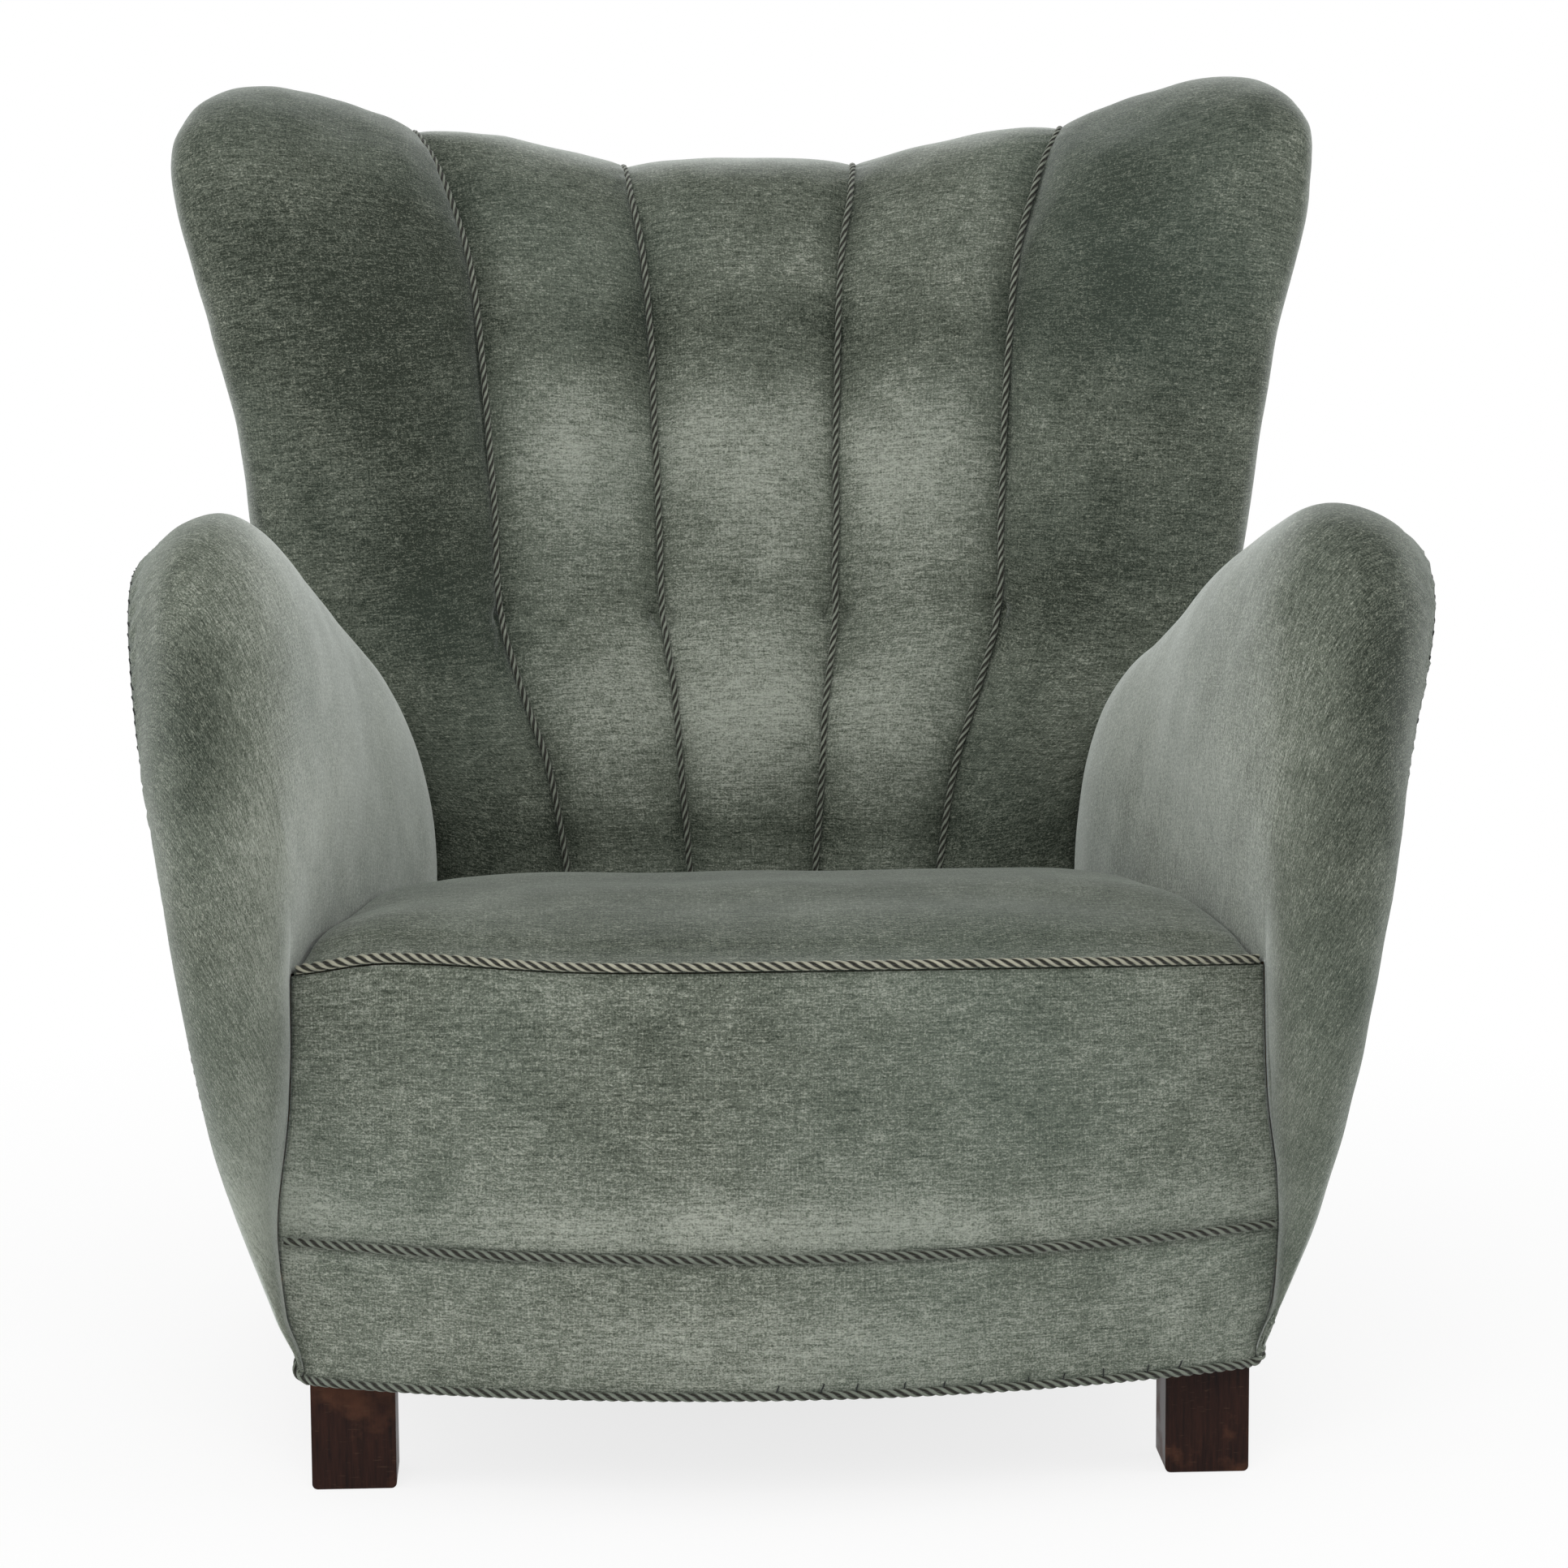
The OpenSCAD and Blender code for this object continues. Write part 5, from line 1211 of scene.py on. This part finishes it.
# %% [markdown]
# ## Cord finishes
# The seams carry a twisted furnishing cord, rubbed paler in patches. On the seat's front edge the
# crests have worn to a cream. A stripe in the finish could imitate the twist, but it would miss
# the shape. So each point of the real strands below carries a value, "crest", for how far out on
# the cord it lies, and where it lies deep, between the strands, the colour is painted dark as shade.

# %% Cord finishes
CORD_GREEN = (0.33, 0.36, 0.295)
CORD_SHADE = (0.14, 0.16, 0.13)
# Painted shade for the grooves between the strands
CORD_GROOVE_SHADE = (0.022, 0.022, 0.015)
CORD_PALE = (0.56, 0.55, 0.45)


def make_cord(name, base, shade, light):
    f = Finish(name, roughness=0.62, sheen_weight=0.3, sheen_roughness=0.4, specular_ior_level=0.25)
    cloth, spot = f.on_cloth(), f.on_object()
    fibres = f.noise(cloth, 1, 2, 0.6, (2600, 160, 1))
    wear = f.noise(spot, 45, 2, 0.5)
    colour = f.blend(((fibres - 0.3) * 2).clamp(), shade, base)
    colour = f.blend(((wear - 0.5) * 3).clamp() * 0.5, colour, light)
    # Painted shade: the grooves between the strands, where the crest value is low, are painted nearly
    # black
    colour = f.blend(((f.painted("crest") - 0.84) * 9).clamp(), CORD_GROOVE_SHADE, colour)
    return f.surface(base_color=colour, normal=f.relief(fibres, 0.0003, 0.8))


cord_green = make_cord("green cord", CORD_GREEN, CORD_SHADE, (0.36, 0.38, 0.31))
cord_dark = make_cord("dark green cord", (0.2, 0.225, 0.18), CORD_SHADE, (0.27, 0.29, 0.235))
cord_worn = make_cord("worn cord", CORD_PALE, (0.22, 0.22, 0.155), (0.68, 0.66, 0.5))
thread_dark = make_cord("dark thread", (0.012, 0.016, 0.014), (0.004, 0.005, 0.005),
    (0.03, 0.04, 0.033))
print("nodes of a cord's finish:", len(cord_green.node_tree.nodes))

# %% [markdown]
# ## Twisted cords
# Three strands are wound round each other. Twisted curves could wind them, but the frame that a
# curve picks for itself can flip where a seam kinks. Here each strand is a thin tube along a
# helix round the seam, with a frame that keeps to the cloth, so the twist is real and casts its
# own small shadows.

# %% Tubes
STRAND_SIDES = 10
TURN_ON_MAP = 0.02


def even_route(route, spacing):
    """The same route with evenly spaced points, and how far along it each one is."""
    d = np.concatenate([[0], np.cumsum(np.linalg.norm(np.diff(route, axis=0), axis=1))])
    n = max(int(d[-1] / spacing), 8)
    new = np.linspace(0, d[-1], n + 1)
    return np.stack([np.interp(new, d, route[:, k]) for k in range(3)], axis=1), new


def frames(route, refs):
    """Two directions across a route, the first of them near refs."""
    t = unit(np.gradient(route, axis=0))
    b = unit(np.cross(t, refs))
    return np.cross(b, t), b


def tube_rings(route, refs, radius, sides):
    n, b = frames(route, refs)
    a = 2 * np.pi * np.arange(sides) / sides
    ring = np.cos(a)[None, :, None] * n[:, None, :] + np.sin(a)[None, :, None] * b[:, None, :]
    return route[:, None, :] + ring * np.asarray(radius).reshape(-1, 1, 1)


def tube_mesh(rings, start, points, faces, maps, along_m):
    """Adds a closed tube to the lists, and returns where the next one starts."""
    r, k = rings.shape[:2]
    i, j = np.meshgrid(np.arange(r - 1), np.arange(k), indexing="ij")
    a, b = i * k + j, i * k + (j + 1) % k
    faces.extend((start + np.stack([a, b, b + k, a + k], axis=-1)).reshape(-1, 4).tolist())
    faces.append([start + q for q in reversed(range(k))])
    faces.append([start + (r - 1) * k + q for q in range(k)])
    points.append(rings.reshape(-1, 3))
    turn = np.tile(np.arange(k) / k * TURN_ON_MAP, r)
    maps.append(np.stack([turn, np.repeat(along_m, k)], axis=1))
    return start + r * k


print("a strand has %d sides" % STRAND_SIDES)

# %% Strands
STRANDS = 3
STRAND_SHARE = 0.232
STRAND_BEAT, STRAND_SWELL = 900, 0.05
CORD_PITCH = 0.0265
RINGS_PER_PITCH = 16


def twisted_cord(name, routes, refs, diameter, nodes, finish):
    """Lays a cord of three strands along each route, and returns the routes' lengths."""
    points, faces, maps, crests = [], [], [], []
    start = 0
    strand_r = diameter * STRAND_SHARE
    for route, ref in zip(routes, refs):
        path, run = even_route(route, CORD_PITCH / RINGS_PER_PITCH)
        new, old = np.linspace(0, 1, len(path)), np.linspace(0, 1, len(ref))
        ref = np.stack([np.interp(new, old, ref[:, k]) for k in range(3)], axis=1)
        n, b = frames(path, ref)
        for strand in range(STRANDS):
            a = 2 * np.pi * (run / CORD_PITCH + strand / STRANDS)
            round_path = np.cos(a)[:, None] * n + np.sin(a)[:, None] * b
            helix = path + (diameter / 2 - strand_r) * round_path
            size = strand_r * (1 + STRAND_SWELL * np.sin(run * STRAND_BEAT + strand))
            rings = tube_rings(helix, ref, size, STRAND_SIDES)
            start = tube_mesh(rings, start, points, faces, maps, run)
            crests.append(np.linalg.norm(rings - path[:, None, :], axis=-1).ravel() * 2 / diameter)
    piece = new_piece(name, settle(np.concatenate(points)), faces)
    add_map(piece.data, "cloth", np.concatenate(maps))
    add_value(piece.data, "crest", np.concatenate(crests))
    piece.data.materials.append(finish)
    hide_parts(*nodes)
    return [lengths(np.asarray(r)[None], 1)[0, -1] for r in routes]


print("one turn of a cord: %.1f mm" % (1000 * CORD_PITCH))

# %% [markdown]
# ## Where the cords run
# Between two channels a cord lies in the valley and touches both. Along the front it sits on
# the seam, and the hem's cord turns up round the corners. The routes could be drawn as curves by
# eye. Taken from the covers' own edges, they follow every gather and kink.

# %% Routes of the cords
LAID_CORD = 0.0066
LAID_BACK_CORD = 0.0053
FRONT_CORD_POINTS = 121
FRONT_CORD_END = 0.985
SUNK_NEAR_TOP, SUNK_AT_TOP = 0.8, 1.9
# Steps of the hem cord from its last point on the front: out, back and up round the corner
HEM_TURN = [[0, 0, 0], [0.005, 0.002, 0.0015], [0.0085, 0.006, 0.005], [0.0085, 0.012, 0.01],
    [0.005, 0.018, 0.014], [-0.001, 0.024, 0.016]]


def valley(left, right, diameter):
    """The route of a cord that lies between two channels, and which way it faces."""
    middle, flank = (left[:, -1] + right[:, 0]) / 2, left[:, -4]
    out = unit(normals(left)[:, -4] + normals(right)[:, 3])
    side = unit(flank - middle)
    facing = np.sum(side * out, axis=1)
    depth = np.maximum(np.linalg.norm(np.cross(side, out), axis=1), 0.6)
    lift = np.where(facing > 0, (diameter / 2 + FIT) / depth, diameter / 2 + FIT)
    t = np.linspace(0, 1, len(middle))
    lift = lift * (1 - SUNK_NEAR_TOP * step(t, 0.66, 0.8) - SUNK_AT_TOP * step(t, 0.96, 0.99))
    return middle + out * lift[:, None], out


def front_cord(c, tilt, lift, turn_up):
    """The route of a cord along the front, whose ends may turn up round the corners."""
    u = np.linspace(-FRONT_CORD_END, FRONT_CORD_END, FRONT_CORD_POINTS)
    p = front_line(np.full_like(u, c), u)
    lean = np.stack([p[:, 0] * BOW / HALF_SEAT**2, 0 * u, 0 * u], axis=1)
    route = p + unit(np.array(tilt) + lean) * (LAID_CORD / 2 + FIT) * lift
    if turn_up:
        turn = at(HEM_TURN, np.linspace(0.1, 1, 20))
        route = np.concatenate([(route[0] + flip(turn))[::-1], route, route[-1] + turn])
    return route, np.tile([0.0, -0.5, 0.87], (len(route), 1))


print("cords laid in their seams: %.1f and %.1f mm" % (1000 * LAID_CORD, 1000 * LAID_BACK_CORD))

# %% Lay the cords
cord_lengths = {}
inner_routes = [valley(middle_channel, side_channels[0], LAID_BACK_CORD),
    valley(side_channels[1], middle_channel, LAID_BACK_CORD)]
outer_routes = [valley(side_channels[0], wing_faces[0], LAID_BACK_CORD),
    valley(wing_faces[1], side_channels[1], LAID_BACK_CORD)]
for name, pair in (("back_cords_inner", inner_routes), ("back_cords_outer", outer_routes)):
    cord_lengths[name] = twisted_cord(name + "_twisted", [p[0] for p in pair], [p[1] for p in pair],
        LAID_BACK_CORD, [name], cord_green)
for name, c, tilt, lift, turn_up, finish in (
        ("seat_cord", 2, (0, -0.8, 0.6), 1, False, cord_worn),
        ("border_cord", 1, (0, -1, 0), 1, False, cord_dark),
        ("hem_cord", 0, (0, -0.5, -0.87), 0.62, True, cord_dark)):
    route, ref = front_cord(c, tilt, lift, turn_up)
    cord_lengths[name] = twisted_cord(name + "_twisted", [route], [ref], LAID_CORD, [name], finish)
print("cords, in metres:", {k: [round(float(x), 3) for x in v] for k, v in cord_lengths.items()})

# %% [markdown]
# ## Hand stitches
# The outer seam of each arm is closed by hand with a dark waxed thread, and the hem cord's
# right half has been sewn on again with a few long stitches. A line in the finish could hint at
# them, but at this size they catch light and stand proud. Each one is a thin bent tube whose
# ends go into the cloth.

# %% Stitches
THREAD = 0.0011
STITCH_RINGS, STITCH_SIDES = 7, 6


def stitches(name, places_at, directions, outs, size, seed):
    rng = random.Random(seed)
    points, faces, maps, start = [], [], [], 0
    for p, d, out in zip(places_at, directions, outs):
        long = size * rng.uniform(0.75, 1.2)
        swing = unit(d + np.cross(out, d) * rng.uniform(-0.15, 0.35))
        s = np.linspace(-1, 1, STITCH_RINGS)
        route = p + swing * s[:, None] * long / 2 + out * (THREAD * (0.35 - 1.2 * s**4))[:, None]
        thick = THREAD / 2 * (1 - 0.5 * s**6)
        rings = tube_rings(route, np.tile(out, (STITCH_RINGS, 1)), thick, STITCH_SIDES)
        start = tube_mesh(rings, start, points, faces, maps, s * long)
    piece = new_piece(name, settle(np.concatenate(points)), faces)
    add_map(piece.data, "cloth", np.concatenate(maps))
    add_value(piece.data, "crest", np.ones(len(piece.data.vertices)))
    piece.data.materials.append(thread_dark)


print("thread: %.1f mm" % (1000 * THREAD))

# %% Sew the arms and the hem
STITCH_GAP = 0.0088
ARM_STITCH, HEM_STITCH = 0.0062, 0.0075
FIRST_SEWN = 6
STITCH_INSET = 0.0012
HEM_STITCHES = 11
HEM_SEWN_FROM, HEM_SEWN_TO = -0.02, 0.82


def arm_stitches(name, grid, edge, seed):
    sewn, inward = grid[:, edge], unit(grid[:, 4 if edge == 0 else -5] - grid[:, edge])
    route = even_route(sewn[FIRST_SEWN:], STITCH_GAP)[0]
    pick = np.linspace(FIRST_SEWN, len(sewn) - 1, len(route)).astype(int)
    t = unit(np.gradient(route, axis=0))
    out = unit(np.cross(t, inward[pick]))
    out = out * np.sign(np.sum(out * normals(grid)[pick, edge], axis=1))[:, None]
    stitches(name, route + inward[pick] * STITCH_INSET, unit(t + 0.35 * inward[pick]), out,
        ARM_STITCH, seed)


arm_stitches("arm_stitches_right", arm_covers[0], 0, 5)
arm_stitches("arm_stitches_left", arm_covers[1], -1, 6)
stitch_u = np.linspace(HEM_SEWN_FROM, HEM_SEWN_TO, HEM_STITCHES)
stitch_u = stitch_u + 0.008 * np.sin(np.arange(HEM_STITCHES) * 2.3)
hem_seat = front(np.full(HEM_STITCHES, 0.035), stitch_u) + np.array([0, -0.0008, 0])
stitches("hem_stitches", hem_seat, unit(np.tile([0.3, 0, 1.0], (HEM_STITCHES, 1))),
    np.tile([0.0, -1.0, 0.0], (HEM_STITCHES, 1)), HEM_STITCH, 7)
print("hem stitches:", HEM_STITCHES)

# %% [markdown]
# ## Timber
# The legs are stained nearly black, with a satin lacquer that has worn through to a red brown
# in places. The frame inside is plain planed beech. A wave texture makes bold rings, which
# suit neither, so both take their grain from noise stretched along the timber.

# %% Timber finishes
def make_stained(name):
    f = Finish(name, roughness=0.42, coat_weight=0.03, coat_roughness=0.35, specular_ior_level=0.12)
    spot = f.on_object()
    grain = f.noise(spot, 1, 4, 0.65, (420, 420, 26))
    pores = f.noise(spot, 1, 2, 0.5, (1400, 1400, 60))
    wear = f.noise(spot, 34, 4, 0.62)
    shade = f.noise(spot, 11, 2, 0.5)
    colour = f.ramp(grain, [(0.3, (0.0075, 0.0026, 0.0019)), (0.72, (0.031, 0.0108, 0.0068))])
    rubbed = ((wear + shade * 0.9 - 0.98) * 4).clamp()
    colour = f.blend(rubbed * 0.8, colour, (0.098, 0.04, 0.022))
    scratches = f.noise(spot, 1, 2, 0.5, (90, 90, 700))
    colour = f.blend(((scratches - 0.66) * 8).clamp() * 0.4, colour, (0.12, 0.07, 0.042))
    height = grain * 0.6 + pores * 0.4
    return f.surface(base_color=colour, roughness=0.34 + rubbed * 0.2 + grain * 0.1,
        normal=f.relief(height, 0.0004, 0.5))


def make_beech():
    f = Finish("planed beech", roughness=0.6, specular_ior_level=0.3)
    spot = f.on_object()
    grain = f.noise(spot, 1, 3, 0.6, (30, 160, 160))
    flecks = f.noise(spot, 1, 2, 0.5, (180, 900, 900))
    colour = f.ramp(grain, [(0.3, (0.46, 0.29, 0.16)), (0.7, (0.66, 0.47, 0.29))])
    colour = f.blend(((flecks - 0.55) * 5).clamp() * 0.45, colour, (0.34, 0.2, 0.11))
    return f.surface(base_color=colour, normal=f.relief(grain + flecks * 0.5, 0.0003, 0.5))


stained = make_stained("stained leg")
beech = make_beech()
print("nodes of the stain:", len(stained.node_tree.nodes))

# %% [markdown]
# ## Cloths, fibre and metal inside
# Jute webbing and hessian are plain weaves of thick and thin threads. The dust cover under the
# seat is a finer black weave. Stuffing is teased fibre, and the springs are lacquered wire.
# Woven threads could be modelled one by one, but all of this is hidden in a finished chair,
# so two crossed wave textures and a little noise are enough.

# %% Inner finishes
BAND_M = 0.314


def make_weave(name, thread_m, dark, light, depth, sheen=0.0):
    f = Finish(name, roughness=0.85, sheen_weight=sheen, specular_ior_level=0.15)
    spot = f.on_object()
    x, y = (Value(f, f.node("ShaderNodeTexWave", {"bands_direction": axis}, {"Vector": spot,
        "Scale": BAND_M / thread_m, "Distortion": 0.6, "Detail": 1.0}).outputs["Fac"]) for axis in "XY")
    slubs = f.noise(spot, 160, 3, 0.6)
    height = x * 0.5 + y * 0.5
    colour = f.ramp((height * 0.7 + slubs * 0.5 - 0.1).clamp(), [(0.1, dark), (0.85, light)])
    return f.surface(base_color=colour, normal=f.relief(height + slubs * 0.3, depth, 0.8))


def make_fibre():
    f = Finish("teased fibre", roughness=0.95, specular_ior_level=0.1)
    spot = f.on_object()
    clumps = f.noise(spot, 40, 5, 0.7)
    strands = f.noise(spot, 320, 3, 0.7)
    colour = f.ramp(clumps * 0.6 + strands * 0.4,
        [(0.3, (0.13, 0.085, 0.045)), (0.7, (0.42, 0.31, 0.18))])
    return f.surface(base_color=colour, normal=f.relief(strands + clumps, 0.0015, 0.7))


def make_metal(name, base, dull, rough):
    f = Finish(name, metallic=1.0)
    spot = f.on_object()
    tarnish = f.noise(spot, 60, 4, 0.6)
    colour = f.blend(((tarnish - 0.45) * 3).clamp(), base, dull)
    return f.surface(base_color=colour, roughness=rough + tarnish * 0.25,
        normal=f.relief(tarnish, 0.0002, 0.3))


webbing = make_weave("jute webbing", 0.0022, (0.23, 0.15, 0.075), (0.56, 0.43, 0.26), 0.0006)
hessian = make_weave("hessian weave", 0.0018, (0.17, 0.11, 0.055), (0.5, 0.38, 0.22), 0.0005)
black_cloth = make_weave("black dust cloth", 0.0009, (0.006, 0.006, 0.007),
    (0.035, 0.035, 0.038), 0.0003, 0.2)
fibre = make_fibre()
spring_wire = make_metal("lacquered wire", (0.35, 0.33, 0.31), (0.16, 0.13, 0.11), 0.32)
tack_metal = make_metal("blued tacks", (0.07, 0.075, 0.09), (0.12, 0.07, 0.045), 0.38)
print("nodes of a weave:", len(hessian.node_tree.nodes))

# %% [markdown]
# ## Dress the packed solids
# Frame, webbing, springs, tacks and legs show as they were packed. They could be copied and
# reworked like the covers, but their shapes are right already, so they only get finishes. The
# legs' edges have been knocked round in use, which a bevel modifier gives without a new mesh.

# %% Dress the packed solids
LEG_EDGE = 0.0016
NODE_FINISH = {"beech_frame": beech, "stained_legs": stained, "jute_webbing": webbing,
    "spring_wire": spring_wire, "blued_tacks": tack_metal, "hessian": hessian,
    "black_cloth": black_cloth, "fibre_stuffing": fibre, "green_velour": velour,
    "twisted_cord": cord_green}
slots = {row["node"]: row["material_slot"] for row in frame["record"]["subparts"]}


def round_edges(solid, width):
    """A modifier breaks the sharp edges. The solid's own mesh stays."""
    bevel = solid.modifiers.new("broken edges", "BEVEL")
    bevel.width, bevel.segments = width, 3
    bevel.limit_method, bevel.angle_limit = "ANGLE", math.radians(40)


for node, solid in frame["nodes"].items():
    solid.data.materials.clear()
    solid.data.materials.append(NODE_FINISH[slots[node]])
    if slots[node] == "stained_legs":
        round_edges(solid, LEG_EDGE)
print("solids dressed:", len(slots))

# %% [markdown]
# ## Stuffing under the covers
# The stuffing is teased, so its surface is lumpy. A displace modifier could press it, but it
# can't settle with the covers above. So each soft solid is copied, divided and pressed in a
# little here and there, and then leans as the covers do.

# %% Copies of packed solids
WELD = 1e-6


def opened(node, name):
    """A copy of a packed solid as an object of its own, with its mesh open for changes."""
    piece = bpy.data.objects.new(name, frame["nodes"][node].data.copy())
    bpy.context.scene.collection.objects.link(piece)
    mesh = bmesh.new()
    mesh.from_mesh(piece.data)
    bmesh.ops.remove_doubles(mesh, verts=mesh.verts, dist=WELD)
    return piece, mesh


def closed(piece, mesh, node, finish):
    """Writes the mesh back, and puts the piece in place of the packed solid."""
    mesh.to_mesh(piece.data)
    mesh.free()
    piece.data.materials.clear()
    piece.data.materials.append(finish)
    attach(piece, "root")
    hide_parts(node)


COPIED = ("fibre_stuffing", "hessian", "black_cloth")
print("solids that are copied:", sum(slot in COPIED for slot in slots.values()))

# %% Stuffing
STUFFING_INSET = 0.0058
LUMP = 0.0006
REAR_TOP_DROP = [0, 0.003, 0.004]


def stuffing(node, seed):
    """A lumpy copy of a soft solid. At the thin rear top it is pressed less and set lower."""
    piece, mesh = opened(node, node + "_fibre")
    bmesh.ops.subdivide_edges(mesh, edges=mesh.edges, cuts=2, use_grid_fill=True)
    mesh.normal_update()
    points = np.array([v.co for v in mesh.verts])
    dent = STUFFING_INSET + LUMP * (1 + waves(points, 0.03, seed) / 3).clip(0, 2)
    rear_top = step(points[:, 1], 0.2, 0.26) * step(points[:, 2], 0.84, 0.88)
    dent = dent * (1 - 0.5 * rear_top)
    lowered = points - rear_top[:, None] * REAR_TOP_DROP
    under = settle(lowered - np.array([v.normal for v in mesh.verts]) * dent[:, None])
    for v, place in zip(mesh.verts, under):
        v.co = place
    closed(piece, mesh, node, fibre)


soft_solids = [n for n, slot in slots.items() if slot == "fibre_stuffing"]
for k, node in enumerate(soft_solids):
    stuffing(node, 200 + k)
print("stuffing:", soft_solids)

# %% [markdown]
# ## Hessians and the dust cover
# These thin cloths are tacked or sewn tight, and hang a millimetre or two between what holds
# them. A cloth simulation is the usual way to hang a cloth. None was tried for these, which
# are tight and hidden, so their sag is a sine both ways across the cloth.

# %% Cloths
LONG_EDGE = 0.05


def cloth_piece(node, name, finish, sag):
    """A thin cloth in place of a flat solid."""
    piece, mesh = opened(node, name)
    long_edges = [e for e in mesh.edges if e.calc_length() > LONG_EDGE]
    bmesh.ops.subdivide_edges(mesh, edges=long_edges, cuts=5, use_grid_fill=True)
    bmesh.ops.triangulate(mesh, faces=mesh.faces)
    low, high = (np.array(c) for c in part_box(node))
    for v in mesh.verts:
        s = (np.array(v.co) - low) / np.maximum(high - low, 1e-6)
        hang = math.sin(math.pi * s[0]) * math.sin(math.pi * (s[1] if sag[2] else s[2]))
        v.co = v.co + Vector(sag) * max(hang, 0)
    mesh.normal_update()
    closed(piece, mesh, node, finish)


cloth_piece("dust_cover", "dust_cloth", black_cloth, (0, 0, -0.0015))
cloth_piece("seat_hessian", "seat_hessian_cloth", hessian, (0, 0, -0.002))
cloth_piece("back_hessian", "back_hessian_cloth", hessian, (0, 0.002, 0))

# %% [markdown]
# ## The floor
# A studio's white floor shows nothing but the chair's soft shadow. A brightly lit floor would
# clip, and throw light up at the cloth. So the floor glows white to the camera and in gloss,
# and lets some of its shaded self through near the chair.

# %% Floor
FLOOR_HALF = 12
SHADOW_REACH = 1.4
SHADOW_SHARE = 0.24


def seen_itself(nodes):
    """1 where the camera looks, straight or in gloss or glass, and 0 for light on the chair."""
    path = nodes.node("ShaderNodeLightPath")
    camera_ray, gloss, glass = (Value(nodes, path.outputs["Is %s Ray" % kind])
        for kind in ("Camera", "Glossy", "Transmission"))
    return (camera_ray + gloss + glass).clamp()


def pale_floor():
    f = Finish("pale floor", base_color=(0.93, 0.93, 0.93), roughness=0.9, specular_ior_level=0.1)
    scaled = f.node("ShaderNodeVectorMath", {"operation": "SCALE"},
        {0: f.on_object(), "Scale": 1 / SHADOW_REACH})
    ball = f.node("ShaderNodeTexGradient", {"gradient_type": "SPHERICAL"},
        {"Vector": scaled.outputs[0]})
    near = Value(f, ball.outputs["Fac"])
    seen = seen_itself(f) * (1 - near * SHADOW_SHARE)
    glow = f.node("ShaderNodeEmission", {}, {"Color": (1, 1, 1), "Strength": 1.0})
    both = f.node("ShaderNodeMixShader", {}, {0: seen, 1: f.shader.outputs[0], 2: glow.outputs[0]})
    f.feed(f.tree.nodes["Material Output"].inputs["Surface"], both.outputs[0])
    return f.material


floor_mesh = bmesh.new()
bmesh.ops.create_grid(floor_mesh, x_segments=8, y_segments=8, size=FLOOR_HALF)
floor_data = bpy.data.meshes.new("floor")
floor_mesh.to_mesh(floor_data)
floor_mesh.free()
floor = bpy.data.objects.new("floor", floor_data)
floor.data.materials.append(pale_floor())
bpy.context.scene.collection.objects.link(floor)
print("floor: %d m wide" % (2 * FLOOR_HALF))

# %% [markdown]
# ## The lights
# The photograph has soft studio light without hard shadows. A picture of a studio could light
# it all round, but area lamps are plainer to move: a big one in front and above, one on each
# side, and one behind for the rim.

# %% Lights
def soft_light(name, place, target, size, power):
    data = bpy.data.lights.new(name, "AREA")
    data.shape, data.size, data.size_y, data.energy = "RECTANGLE", size[0], size[1], power
    lamp = bpy.data.objects.new(name, data)
    lamp.location = place
    lamp.rotation_euler = (Vector(target) - Vector(place)).to_track_quat("-Z", "Y").to_euler()
    bpy.context.scene.collection.objects.link(lamp)


soft_light("key", (-0.5, -3.0, 2.7), (0, 0, 0.5), (2.6, 1.8), 62)
soft_light("left", (-3.0, -0.6, 1.6), (0, 0, 0.5), (2.0, 2.2), 34)
soft_light("right", (3.0, -0.4, 1.6), (0, 0, 0.5), (2.0, 2.2), 34)
soft_light("rear", (0.4, 3.0, 2.3), (0, 0, 0.6), (2.4, 1.8), 26)

# %% [markdown]
# ## The backdrop
# The backdrop is white paper, lit so that it has no shape. A plane behind the chair would show
# an edge from other sides, so the world itself is white to the camera and in gloss, and gives
# the chair a weaker, even light.

# %% World
EVEN_LIGHT = 0.42
world = bpy.data.worlds.new("studio")
bpy.context.scene.world = world
backdrop = Nodes(world)
even = backdrop.tree.nodes["Background"]
backdrop.feed(even.inputs["Color"], (1, 1, 1))
backdrop.feed(even.inputs["Strength"], EVEN_LIGHT)
white = backdrop.node("ShaderNodeBackground", {}, {"Color": (1, 1, 1), "Strength": 1.0})
both = backdrop.node("ShaderNodeMixShader", {},
    {0: seen_itself(backdrop), 1: even.outputs[0], 2: white.outputs[0]})
backdrop.feed(backdrop.tree.nodes["World Output"].inputs["Surface"], both.outputs[0])
bpy.context.scene.view_settings.view_transform = "Standard"
print("view transform:", bpy.context.scene.view_settings.view_transform)

# %% [markdown]
# The dressed chair has to stay in the solid chair's box, give or take what cloth may stand
# proud.
